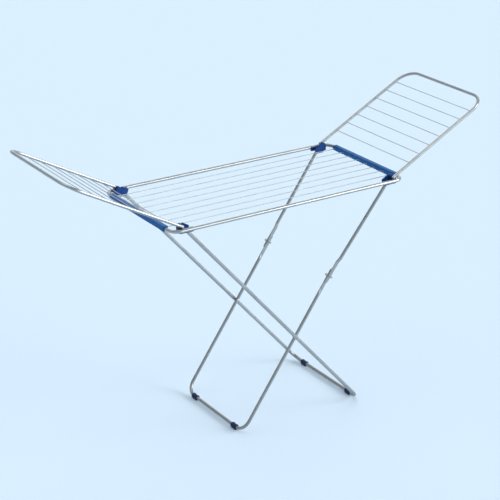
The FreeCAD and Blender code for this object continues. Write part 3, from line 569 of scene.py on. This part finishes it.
def lying(origin, outwards):
    """A place whose X axis points outwards, with the rack's width as its Y axis."""
    axes = Matrix((outwards, ACROSS, outwards.cross(ACROSS))).transposed()
    return Matrix.Translation(origin) @ axes.to_4x4()


def rod(low, high, radius, centre, axis):
    """A wire with a weld bead at each end, where it runs into its tube."""
    steps = 3
    profile = []
    for step in range(steps + 1):
        left = 1 - step / steps
        profile.append((low + BEAD_LENGTH * (1 - left), radius + (BEAD_RADIUS - radius) * left ** 2))
    profile += [(high + low - distance, size) for distance, size in reversed(profile)]
    return turned(profile, centre, axis, sides=WIRE_SIDES)


def plug(mouth, outwards, radius, depth=LEG_PLUG_DEPTH):
    """A tube plug: a crowned cap over the tube's mouth and a stem inside it."""
    stem = radius - TUBE_WALL - 2 * FIT
    stem_ease = 0.0004
    rim = 0.0002
    side = 0.0009
    crown = 0.0006
    crown_width = 0.0022
    profile = [(-depth, TIP), (-depth, stem - stem_ease), (stem_ease - depth, stem), (0.0, stem),
               (0.0, radius - rim), (rim, radius), (side, radius)]
    profile += [(side + crown * math.sin(angle), radius - crown_width * (1 - math.cos(angle)))
                for angle in (0.5, 1.0, math.pi / 2)]
    profile.append((side + crown, TIP))
    return turned(profile, mouth, outwards)


# ---------------------------------------------------------------- drying frame

def frame_halves():
    """The two U halves of the drying frame, which meet in the middle of the rails."""
    for side, sign in ENDS:
        outwards = ALONG * sign
        origin = outwards * HALF_JOINT_GAP + UP * RAIL_Z
        route = u_route(END_BAR_X - HALF_JOINT_GAP, RAIL_HALF_GAP, RAIL_HALF_GAP, FRAME_BEND)
        mesh = Shape().add(*hollow_tube(route, lying(origin, outwards), RAIL_RADIUS)).mesh("frame_" + side)
        piece(f"frame_tube_{side}", mesh, "main_frame", "tube_silver", [f"frame_{side}_half"])


def rail_sleeves():
    """The sleeves inside the rails keep their CAD shape and carry the tube's coating."""
    frame["nodes"]["rail_spigots"].data.materials.clear()
    frame["nodes"]["rail_spigots"].data.materials.append(MATERIALS["tube_silver"])


def main_wires():
    """Eight wires from end bar to end bar. Returns their places across the rack."""
    shape = Shape()
    half = node_size("main_wires", 0) / 2
    outermost = node_size("main_wires", 1) / 2 - WIRE_RADIUS
    places = [outermost * (2 * index / (MAIN_WIRES - 1) - 1) for index in range(MAIN_WIRES)]
    for across in places:
        shape.add(*rod(-half, half, WIRE_RADIUS, Vector((0, across, RAIL_Z)), ALONG))
    piece("drying_wires", shape.mesh("drying_wires"), "main_frame", "wire", ["main_wires"])
    return places


def end_strips(wire_places):
    """Plastic strips over the end bars: a C section, notched on its inner side at each wire.

    A corner of the section is (along the rack, up), with its rounding where it isn't EDGE.
    """
    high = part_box("end_strip_right")[1]
    half_side = node_size("end_strip_right", 2) / 2
    seat = RAIL_RADIUS + FIT
    half_mouth = 0.005
    notch_top = 0.003
    half_notch = 0.003
    ramp = 0.0006
    groove_depth = 0.0008
    half_groove = 0.0015
    lip_round = 0.0008
    bottom_round = 0.0024
    top_round = 0.0028
    end_ease = 0.0006
    end_step = end_ease / 3
    hair = 1e-5
    mouth_angle = math.asin(half_mouth / seat)
    mouth_top = -seat * math.cos(mouth_angle)
    groove_floor = half_side - groove_depth
    corners = [(-half_mouth, -half_side, lip_round), (-half_mouth, mouth_top, 0)]
    arc_steps = 24
    for step in range(1, arc_steps):
        angle = mouth_angle + (2 * math.pi - 2 * mouth_angle) * step / arc_steps
        corners.append((-seat * math.sin(angle), -seat * math.cos(angle), 0))
    corners += [(half_mouth, mouth_top, 0), (half_mouth, -half_side, lip_round),
                (half_side, -half_side, bottom_round), (half_side, -half_groove),
                (groove_floor, -half_groove), (groove_floor, half_groove),
                (half_side, half_groove), (half_side, half_side, top_round),
                (-half_side, half_side, top_round), (-half_side, -half_side, bottom_round)]
    outline = rounded(corners, EDGE, steps=4)
    inner_edge = -math.sqrt(seat ** 2 - notch_top ** 2)

    def notched(point):
        """The point, moved up to the notch's top when it lies in the notch."""
        if point.x > -half_mouth + hair or point.y > notch_top:
            return point
        on_seat = math.hypot(point.x, point.y) < seat + hair or abs(point.x + half_mouth) < hair
        return Vector((inner_edge if on_seat else -half_side, notch_top))

    stations = [(-high.y, inset(outline, end_ease)), (-high.y + end_step, inset(outline, end_step)),
                (-high.y + end_ease, outline)]
    for place in wire_places:
        cut = [notched(point) for point in outline]
        stations += [(place - half_notch - ramp, outline), (place - half_notch, cut),
                     (place + half_notch, cut), (place + half_notch + ramp, outline)]
    stations += [(-place, section) for place, section in reversed(stations[:3])]
    rings = [[Vector((END_BAR_X + point.x, place, RAIL_Z + point.y)) for point in section]
             for place, section in stations]
    mesh = Shape().add(*skin(rings)).mesh("strip_right")
    piece("strip_right", mesh, "main_frame", "strip_blue", ["end_strip_right"])
    piece("strip_left", mirrored(mesh, ALONG, "strip_left"), "main_frame", "strip_blue", ["end_strip_left"])


def block(start, finish, bottom, top, low, high):
    """A box with eased edges: along the rack, up, and from low to high across the rack."""
    corner = 0.0012
    bevel = 0.0006
    outline = rounded([(start, bottom), (finish, bottom), (finish, top), (start, top)], corner)
    return slab(outline, low, high, bevel)


def raised_button(pivot, face, radius):
    """A low domed button that stands on a bracket's plate in front of a pin, rooted in the plate."""
    height = 0.0009
    crown = 0.0001
    crown_share = 0.6
    shoulder = 0.0004
    rim = 0.0002
    root = 0.001
    profile = [(face - height, TIP), (face - height + crown, radius * crown_share),
               (face - shoulder, radius - rim), (face + rim, radius), (face + root, radius)]
    return turned(profile, pivot)


def bracket_mesh():
    """The far right bracket: a saddle under the rail, and a plate in front of the leg and the wing."""
    low, high = (Vector(neat(value) for value in corner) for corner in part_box("corner_bracket_far_right"))
    bevel = 0.0008
    end_ease = 0.0005
    set_back = 0.001
    root = low.y + set_back
    crown = high.z - WING_PIVOT.z
    shoulder = RAIL_Z + PLATE_SHOULDER
    plate = rounded([(PLATE_INNER, shoulder), (PLATE_INNER_FOOT, low.z), (PLATE_OUTER_FOOT, low.z),
                     (PLATE_OUTER, shoulder), (PLATE_PEAK, RAIL_Z + PLATE_ABOVE)], PLATE_ROUND)
    hinge = Vector((WING_PIVOT.x, 0, WING_PIVOT.z))
    leg_pivot = Vector((RIGHT_LEG_PIVOT.x, 0, RIGHT_LEG_PIVOT.z))
    boss = turned([(low.y, crown - bevel), (low.y + EDGE, crown - EDGE), (low.y + bevel, crown),
                   (HINGE_BOSS_END - end_ease, crown), (HINGE_BOSS_END, crown - end_ease)], hinge)
    lug = turned([(SADDLE_FACE, RIVET_LUG_RADIUS), (RIVET_LUG_END - end_ease, RIVET_LUG_RADIUS),
                  (RIVET_LUG_END, RIVET_LUG_RADIUS - end_ease)], leg_pivot)
    saddle_low = RAIL_Z - SADDLE_BELOW
    saddle_high = RAIL_Z + SADDLE_ABOVE
    slope = wing_slope()
    stop_start = high.x - WING_STOP_WIDTH
    under_arm = WING_PIVOT.z - (WING_RADIUS + WING_STOP_GAP) / math.cos(slope)
    stop = rounded([(stop_start, saddle_low), (high.x, saddle_low),
                    (high.x, under_arm + (high.x - WING_PIVOT.x) * math.tan(slope)),
                    (stop_start, under_arm + (stop_start - WING_PIVOT.x) * math.tan(slope))], bevel)
    solids = [slab(plate, low.y, low.y + PLATE_THICKNESS, bevel),
              boss,
              block(WEB_START + set_back, WING_PIVOT.x + crown, RAIL_Z, WING_PIVOT.z, root, HINGE_BOSS_END),
              block(WEB_START, SADDLE_END, saddle_low, saddle_high, root, high.y),
              block(low.x, SADDLE_END, saddle_low, saddle_high, SADDLE_FACE, high.y),
              lug,
              slab(stop, root, WING_STOP_BACK, STOP_BEVEL),
              raised_button(hinge, low.y, WING_BUTTON_RADIUS),
              raised_button(leg_pivot, low.y, LEG_BUTTON_RADIUS)]
    past_end = 0.01
    channel = turned([(low.x - past_end, RAIL_RADIUS + FIT), (high.x + past_end, RAIL_RADIUS + FIT)],
                     Vector((0, RAIL_HALF_GAP, RAIL_Z)), ALONG, sides=CHANNEL_SIDES)
    return settled(carved("bracket", solids, [channel]), crease=38)


def corner_brackets():
    """The far right bracket and its mirror images at the other three corners."""
    far_right = bracket_mesh()
    for side, across in SIDES:
        for end, along in ENDS:
            mesh = far_right.copy()
            if across < 0:
                mesh = mirrored(mesh, ACROSS, "bracket")
            if along < 0:
                mesh = mirrored(mesh, ALONG, "bracket")
            mesh.name = f"bracket_{side}_{end}"
            thing = piece(mesh.name, mesh, "main_frame", "bracket_blue", [f"corner_bracket_{side}_{end}"])
            thing.modifiers.new("even_shading", "WEIGHTED_NORMAL").keep_sharp = True


def hinge_pins():
    """Headed pins through the wing arms and plain pins through the legs, held in the brackets."""
    face = WING_HALF_GAP + WING_RADIUS + HEAD_GAP
    radius = WING_PIN_RADIUS
    end_ease = 0.0004
    for side, sign in ENDS:
        profile = [(PIN_START, TIP), (PIN_START, radius - EDGE), (PIN_START + EDGE, radius), (face, radius)]
        profile += dome(face, node_size(f"wing_pins_{side}", 2) / 2, WING_PIN_HEAD_HEIGHT, outwards=True)
        shape = on_both_sides(turned(profile, Vector((sign * WING_PIVOT.x, 0, WING_PIVOT.z))))
        piece(f"wing_hinge_pins_{side}", shape.mesh("pins"), "main_frame", "rivet_steel",
              [f"wing_pins_{side}"])
        finish = neat(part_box(f"leg_pins_{side}")[1].y)
        profile = [(PIN_START, TIP), (PIN_START, SHANK_RADIUS), (finish - end_ease, SHANK_RADIUS),
                   (finish, SHANK_RADIUS - end_ease), (finish, TIP)]
        shape = on_both_sides(turned(profile, Vector((sign * RIGHT_LEG_PIVOT.x, 0, RIGHT_LEG_PIVOT.z))))
        piece(f"leg_hinge_pins_{side}", shape.mesh("pins"), "main_frame", "rivet_steel",
              [f"leg_pins_{side}"])


# ---------------------------------------------------------------- wings

def wing_bar():
    """Centre of the right wing's outer bar."""
    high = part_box("wing_tube_right")[1]
    return Vector((high.x - WING_RADIUS, 0, high.z - WING_RADIUS))


def wing_slope():
    arm = wing_bar() - WING_PIVOT
    return math.atan2(arm.z, arm.x)


def wings():
    """A bent tube with seven wires, hinged behind the plates of two brackets."""
    wire_low, wire_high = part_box("wing_wires_right")
    slope = wing_slope()
    arm = (wing_bar() - WING_PIVOT).length
    route = u_route(arm + WING_TAIL, WING_HALF_GAP, WING_HALF_GAP, WING_BEND)
    half_wire = wire_high.y
    for side, sign in ENDS:
        body = side + "_wing"
        outwards = Vector((sign * math.cos(slope), 0, math.sin(slope)))
        mouth = Vector((sign * WING_PIVOT.x, 0, WING_PIVOT.z)) - outwards * WING_TAIL
        tube = Shape().add(*hollow_tube(route, lying(mouth, outwards), WING_RADIUS))
        piece(f"wing_frame_{side}", tube.mesh("wing"), body, "tube_silver", [f"wing_tube_{side}"])
        wires = Shape()
        for index in range(WING_WIRES):
            share = index / (WING_WIRES - 1)
            x = (wire_low.x + WIRE_RADIUS) * (1 - share) + (wire_high.x - WIRE_RADIUS) * share
            z = (wire_low.z + WIRE_RADIUS) * (1 - share) + (wire_high.z - WIRE_RADIUS) * share
            wires.add(*rod(-half_wire, half_wire, WIRE_RADIUS, Vector((sign * x, 0, z)), ACROSS))
        piece(f"wing_rods_{side}", wires.mesh("wires"), body, "wire", [f"wing_wires_{side}"])
        ends = on_both_sides(plug(mouth + ACROSS * WING_HALF_GAP, -outwards, WING_RADIUS, WING_PLUG_DEPTH))
        piece(f"wing_caps_{side}", ends.mesh("caps"), body, "plug_grey", [f"wing_plugs_{side}"])


# ---------------------------------------------------------------- feet

def foot(centre, low, high, rim, bar_radius):
    """A clip round a foot bar: two rims, a ribbed waist and a flat sole that meets the floor."""
    half_length = (high - low) / 2
    corner = math.atan2(FOOT_SOLE_HALF_WIDTH, centre.z)
    ease = 0.0012
    rim_start = half_length - FOOT_RIM_WIDTH
    chamfer = 0.0011
    half = [(half_length, rim - chamfer), (half_length - 0.0004, rim - EDGE), (half_length - chamfer, rim),
            (rim_start + ease, rim), (rim_start + ease / 3, rim - ease / 2),
            (rim_start, FOOT_WAIST_RADIUS)]
    rib_half_width = 0.0005
    rib_top = FOOT_WAIST_RADIUS + 0.0005
    for middle in (0.0060, 0.0020):
        half += [(middle + ease, FOOT_WAIST_RADIUS), (middle + rib_half_width, rib_top),
                 (middle - rib_half_width, rib_top), (middle - ease, FOOT_WAIST_RADIUS)]
    profile = [(-distance, radius) for distance, radius in half]
    profile += [(distance, radius) for distance, radius in reversed(half)]
    angles = [2 * math.pi * index / FOOT_SIDES for index in range(FOOT_SIDES)]
    nearest = round(corner / (2 * math.pi) * FOOT_SIDES)
    angles[nearest] = corner
    angles[-nearest] = 2 * math.pi - corner
    across = (low + high) / 2

    def around(angle, distance, reach):
        return centre + Vector((reach * math.sin(angle), across + distance, -reach * math.cos(angle)))

    rings = []
    for distance, radius in profile:
        ring = []
        eased = min(1.0, radius / rim) if abs(distance) > half_length - ease else 1.0
        for angle in angles:
            down = math.cos(angle)
            aside = abs(math.sin(angle))
            if down > 0 and aside * centre.z <= FOOT_SOLE_HALF_WIDTH * down + 1e-9:
                sole = centre.z / down
            else:
                sole = FOOT_SOLE_HALF_WIDTH / aside if down > 0 else 0.0
            ring.append(around(angle, distance, max(radius, sole * eased)))
        rings.append(ring)
    for distance in (half_length, -half_length):
        rings.append([around(angle, distance, bar_radius) for angle in angles])
    return skin(rings, closed_loop=True)


def feet(prefix, bar, bar_radius):
    low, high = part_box(f"{prefix}_foot_far")
    rim = node_size(f"{prefix}_foot_far", 0) / 2
    mesh = Shape().add(*foot(bar, neat(low.y), neat(high.y), rim, bar_radius + FIT)).mesh("foot")
    for side, sign in SIDES:
        own = mesh if sign > 0 else mirrored(mesh, ACROSS, "foot")
        piece(f"{prefix}_foot_clip_{side}", own, prefix + "_leg", "foot_blue", [f"{prefix}_foot_{side}"])


# ---------------------------------------------------------------- legs

def foot_bar(node, radius, direction):
    """Centre line of a leg frame's foot bar, from the box of its tube."""
    low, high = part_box(node)
    x = high.x - radius if direction > 0 else low.x + radius
    return Vector((neat(x), 0, neat(low.z + radius)))


def outer_leg():
    """One U of tube, hinged on the left brackets, with plugged ends. Returns the legs' crossing."""
    bar = foot_bar("outer_leg_tube", RAIL_RADIUS, 1)
    top_half_gap = neat(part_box("outer_leg_plugs")[1].y) - RAIL_RADIUS
    length = (bar - LEFT_LEG_PIVOT).length
    outwards = (bar - LEFT_LEG_PIVOT).normalized()
    mouth = LEFT_LEG_PIVOT - outwards * LEG_TAIL
    route = u_route(length + LEG_TAIL, top_half_gap, OUTER_FOOT_HALF_GAP, LEG_BEND)
    tube = Shape().add(*hollow_tube(route, lying(mouth, outwards), RAIL_RADIUS))
    piece("outer_leg_frame", tube.mesh("outer_leg"), "outer_leg", "tube_silver", ["outer_leg_tube"])
    caps = on_both_sides(plug(mouth + ACROSS * top_half_gap, -outwards, RAIL_RADIUS))
    piece("outer_leg_caps", caps.mesh("caps"), "outer_leg", "plug_grey", ["outer_leg_plugs"])
    feet("outer", bar, RAIL_RADIUS)

    low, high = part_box("outer_cross_washers")
    crossing = Vector(((low.x + high.x) / 2, 0, (low.z + high.z) / 2))
    share = (crossing - LEFT_LEG_PIVOT).length / length
    half_gap = top_half_gap + (OUTER_FOOT_HALF_GAP - top_half_gap) * share
    outer_face = half_gap + RAIL_RADIUS + HEAD_GAP
    washer_low = neat(high.y - WASHER_THICKNESS)
    rivet = [(washer_low, TIP), (washer_low, SHANK_RADIUS), (outer_face, SHANK_RADIUS)]
    rivet += dome(outer_face, RIVET_HEAD_RADIUS, RIVET_HEAD_HEIGHT, outwards=True)
    piece("crossing_rivets_outer", on_both_sides(turned(rivet, crossing)).mesh("rivets"), "outer_leg",
          "rivet_steel", ["outer_cross_rivets"])
    washer = bush(washer_low, neat(high.y), WASHER_RADIUS, SHANK_RADIUS, crossing)
    piece("crossing_washers", on_both_sides(washer).mesh("washers"), "outer_leg", "washer_nylon",
          ["outer_cross_washers"])
    return crossing


def knee_section(distance, radius):
    """Half thickness, half width, power of the oval and roundness of a leg tube near the knee."""
    start, finish = KNEE_ROUND_AGAIN
    share = min(1.0, max(0.0, (distance - start) / (finish - start)))
    share = share * share * (3 - 2 * share)
    thickness = KNEE_FLAT_HALF_THICKNESS + (radius - KNEE_FLAT_HALF_THICKNESS) * share
    width = KNEE_FLAT_HALF_WIDTH + (radius - KNEE_FLAT_HALF_WIDTH) * share
    from_tip = distance + KNEE_OVERLAP
    if from_tip < KNEE_FLAT_HALF_WIDTH:
        width = math.sqrt(KNEE_FLAT_HALF_WIDTH ** 2 - (KNEE_FLAT_HALF_WIDTH - from_tip) ** 2)
    return thickness, width, FLAT_POWER + (ROUND_POWER - FLAT_POWER) * share, share


def knee_distances():
    """Distances from the knee at which a flattened end has a section, from its tip on."""
    tip_steps = 8
    first_step = 0.35
    tip = []
    for step in range(tip_steps + 1):
        angle = math.pi / 2 * (step + first_step) / (tip_steps + first_step)
        tip.append(KNEE_FLAT_HALF_WIDTH * (1 - math.cos(angle)) - KNEE_OVERLAP)
    start, finish = KNEE_ROUND_AGAIN
    ease_steps = 10
    return tip + [start + (finish - start) * step / ease_steps for step in range(ease_steps + 1)]


def oval_ring(centre, side, normal, half_side, half_normal, power):
    """A ring that is round at power 2 and squarer at higher powers."""
    ring = []
    for corner in range(TUBE_SIDES):
        angle = 2 * math.pi * corner / TUBE_SIDES
        aside = math.copysign(abs(math.cos(angle)) ** (2 / power), math.cos(angle))
        above = math.copysign(abs(math.sin(angle)) ** (2 / power), math.sin(angle))
        ring.append(centre + side * (half_side * aside) + normal * (half_normal * above))
    return ring


def upper_leg():
    """Two tubes from the right brackets to the knee, pressed flat at their lower ends."""
    plug_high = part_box("upper_leg_plugs")[1]
    top = Vector((RIGHT_LEG_PIVOT.x, neat(plug_high.y) - INNER_LEG_RADIUS, RIGHT_LEG_PIVOT.z))
    bottom = Vector((KNEE.x, UPPER_KNEE_HALF_GAP, KNEE.z))
    upwards = (Vector((top.x, 0, top.z)) - KNEE).normalized()
    normal = upwards.cross(ACROSS)
    length = (RIGHT_LEG_PIVOT - KNEE).length
    rings = []
    straight = [length / 2, length, length + LEG_TAIL - EDGE, length + LEG_TAIL]
    for distance in knee_distances() + straight:
        thickness, width, power, share = knee_section(distance, INNER_LEG_RADIUS)
        if distance == length + LEG_TAIL:
            thickness -= EDGE
            width -= EDGE
        across = bottom.y + (top.y - bottom.y) * max(0.0, distance) / length
        across = UPPER_FLAT_HALF_GAP + (across - UPPER_FLAT_HALF_GAP) * share
        centre = KNEE + upwards * distance + ACROSS * across
        rings.append(oval_ring(centre, ACROSS, normal, thickness, width, power))
    mesh = Shape().add(*skin(rings)).mesh("upper_leg")
    piece("upper_leg_tube_far", mesh, "upper_leg", "tube_silver", ["upper_leg_far"])
    piece("upper_leg_tube_near", mirrored(mesh, ACROSS, "upper_leg"), "upper_leg", "tube_silver",
          ["upper_leg_near"])
    lean = (top - bottom).normalized()
    caps = on_both_sides(plug(top + lean * LEG_TAIL, lean, INNER_LEG_RADIUS))
    piece("upper_leg_caps", caps.mesh("caps"), "upper_leg", "plug_grey", ["upper_leg_plugs"])


def knee_rivets():
    """Long rivets through the flats, each with a sleeve and a domed knob at both ends."""
    knob_rim = 0.0016
    sleeve_rim = 0.0005
    outer_face = UPPER_FLAT_HALF_GAP + KNEE_FLAT_HALF_THICKNESS
    inner_face = LOWER_FLAT_HALF_GAP - KNEE_FLAT_HALF_THICKNESS - HEAD_GAP
    outer_seat = outer_face + KNEE_STANDOFF
    inner_seat = inner_face - KNEE_STANDOFF
    profile = dome(inner_seat, KNOB_RADIUS, KNOB_HEIGHT, outwards=False, rim=knob_rim)[::-1]
    profile += [(inner_seat, SHANK_RADIUS), (outer_seat, SHANK_RADIUS)]
    profile += dome(outer_seat, KNOB_RADIUS, KNOB_HEIGHT, outwards=True, rim=knob_rim)
    piece("knee_knobs", on_both_sides(turned(profile, KNEE)).mesh("knobs"), "upper_leg", "rivet_steel",
          ["knee_rivets"])
    shape = on_both_sides(bush(outer_face, outer_seat, SLEEVE_RADIUS, SHANK_RADIUS, KNEE, sleeve_rim))
    inner = on_both_sides(bush(inner_seat, inner_face, SLEEVE_RADIUS, SHANK_RADIUS, KNEE, sleeve_rim))
    shape.add(inner.points, inner.faces)
    piece("knee_sleeves", shape.mesh("sleeves"), "upper_leg", "washer_nylon", ["knee_spacers"])


def lower_leg(crossing):
    """A U of tube whose two ends are pressed flat at the knee, with the inner crossing rivets."""
    bar = foot_bar("lower_leg_tube", INNER_LEG_RADIUS, -1)
    half_gap = neat(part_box("lower_leg_tube")[1].y) - INNER_LEG_RADIUS
    length = (bar - KNEE).length
    outwards = (bar - KNEE).normalized()
    place = lying(KNEE, outwards)
    route = u_route(length, half_gap, half_gap, LEG_BEND)[1:-1]
    arm = []
    for distance in knee_distances():
        thickness, width, power, share = knee_section(distance, INNER_LEG_RADIUS)
        across = LOWER_FLAT_HALF_GAP + (half_gap - LOWER_FLAT_HALF_GAP) * share
        arm.append((Vector((distance, across, 0)), thickness, width, power))
    far_end = [oval_ring(centre, ACROSS, UP, thickness, width, power)
               for centre, thickness, width, power in arm]
    near_end = [oval_ring(centre - 2 * centre.y * ACROSS, -ACROSS, UP, thickness, width, power)
                for centre, thickness, width, power in reversed(arm)]
    far_end = [[place @ point for point in ring] for ring in far_end]
    near_end = [[place @ point for point in ring] for ring in near_end]
    tube = Shape().add(*skin(far_end + tube_rings(route, place, INNER_LEG_RADIUS) + near_end))
    piece("lower_leg_frame", tube.mesh("lower_leg"), "lower_leg", "tube_silver", ["lower_leg_tube"])
    feet("lower", bar, INNER_LEG_RADIUS)

    inner_face = half_gap - INNER_LEG_RADIUS - HEAD_GAP
    collar = half_gap + INNER_LEG_RADIUS + FIT
    collar_end = collar + COLLAR_THICKNESS
    profile = dome(inner_face, RIVET_HEAD_RADIUS, RIVET_HEAD_HEIGHT, outwards=False)[::-1]
    profile += [(inner_face, SHANK_RADIUS), (collar, SHANK_RADIUS), (collar, WASHER_RADIUS - EDGE),
                (collar + EDGE, WASHER_RADIUS), (collar_end - EDGE, WASHER_RADIUS),
                (collar_end, WASHER_RADIUS - EDGE), (collar_end, TIP)]
    piece("crossing_rivets_inner", on_both_sides(turned(profile, crossing)).mesh("rivets"), "lower_leg",
          "rivet_steel", ["inner_cross_rivets"])


# ---------------------------------------------------------------- setting

def floor():
    """A wide, plain, pale blue floor."""
    half_size = 60
    work = bmesh.new()
    bmesh.ops.create_grid(work, x_segments=8, y_segments=8, size=half_size)
    mesh = bpy.data.meshes.new("floor")
    work.to_mesh(mesh)
    work.free()
    thing = bpy.data.objects.new("floor", mesh)
    bpy.context.scene.collection.objects.link(thing)
    finish = Finish("pale_floor", base_color=(*FLOOR_COLOUR, 1), roughness=0.9, specular_ior_level=0.1)
    mesh.materials.append(finish.material)


def sun(name, direction, strength, spread, colour=(1.0, 1.0, 1.0)):
    """A broad soft light from a direction, as a distant studio panel gives."""
    light = bpy.data.lights.new(name, "SUN")
    light.energy = strength
    light.angle = math.radians(spread)
    light.color = colour
    thing = bpy.data.objects.new(name, light)
    thing.rotation_mode = "QUATERNION"
    thing.rotation_quaternion = Vector(direction).to_track_quat("Z", "Y")
    bpy.context.scene.collection.objects.link(thing)


def world():
    """A studio dome: pale blue to the camera, and a grey ceiling with a bright horizon to the tubes."""
    scene = bpy.context.scene
    scene.world = bpy.data.worlds.new("studio")
    scene.world.use_nodes = True
    tree = scene.world.node_tree
    tree.nodes.clear()
    direction = tree.nodes.new("ShaderNodeTexCoord").outputs["Generated"]
    split = tree.nodes.new("ShaderNodeSeparateXYZ")
    tree.links.new(direction, split.inputs["Vector"])
    ramp = tree.nodes.new("ShaderNodeValToRGB")
    elements = ramp.color_ramp.elements
    elements[0].color = (*BACKDROP_COLOUR, 1)
    elements[1].color = (*CEILING_COLOUR, 1)
    for height, shade in DOME_SHADES:
        elements.new(height).color = (*shade, 1)
    tree.links.new(split.outputs["Z"], ramp.inputs["Fac"])
    dome_light = tree.nodes.new("ShaderNodeBackground")
    tree.links.new(ramp.outputs["Color"], dome_light.inputs["Color"])
    backdrop = tree.nodes.new("ShaderNodeBackground")
    backdrop.inputs["Color"].default_value = (*BACKDROP_COLOUR, 1)
    choice = tree.nodes.new("ShaderNodeMixShader")
    path = tree.nodes.new("ShaderNodeLightPath")
    tree.links.new(path.outputs["Is Camera Ray"], choice.inputs[0])
    tree.links.new(dome_light.outputs["Background"], choice.inputs[1])
    tree.links.new(backdrop.outputs["Background"], choice.inputs[2])
    output = tree.nodes.new("ShaderNodeOutputWorld")
    tree.links.new(choice.outputs["Shader"], output.inputs["Surface"])


def camera():
    """A long lens from the near left, a little above the rack."""
    azimuth, elevation, roll = (math.radians(angle) for angle in CAMERA_ANGLES)
    back = Vector((math.sin(azimuth) * math.cos(elevation), -math.cos(azimuth) * math.cos(elevation),
                   math.sin(elevation)))
    lens = bpy.data.cameras.new("camera")
    lens.sensor_width = 36
    lens.lens = CAMERA_LENS
    lens.clip_end = 200
    thing = bpy.data.objects.new("camera", lens)
    thing.location = CAMERA_TARGET + back * CAMERA_DISTANCE
    thing.rotation_mode = "QUATERNION"
    thing.rotation_quaternion = back.to_track_quat("Z", "Y") @ Quaternion(UP, roll)
    bpy.context.scene.collection.objects.link(thing)
    bpy.context.scene.camera = thing


def corners(bounds):
    return [list(corner) for corner in bounds]


camera()
world()
floor()
sun("key", (0.75, -0.52, 0.38), 2.1, 30, (1.0, 0.99, 0.97))
sun("front", (0.45, -0.80, 0.20), 0.9, 36)
sun("back", (0.50, 0.70, 0.50), 0.7, 60)
sun("overhead", (-0.15, 0.10, 1.0), 0.80, 50)
bpy.context.scene.view_settings.view_transform = "Standard"

frame_halves()
end_strips(main_wires())
corner_brackets()
hinge_pins()
wings()
crossing_point = outer_leg()
upper_leg()
knee_rivets()
lower_leg(crossing_point)
rail_sleeves()
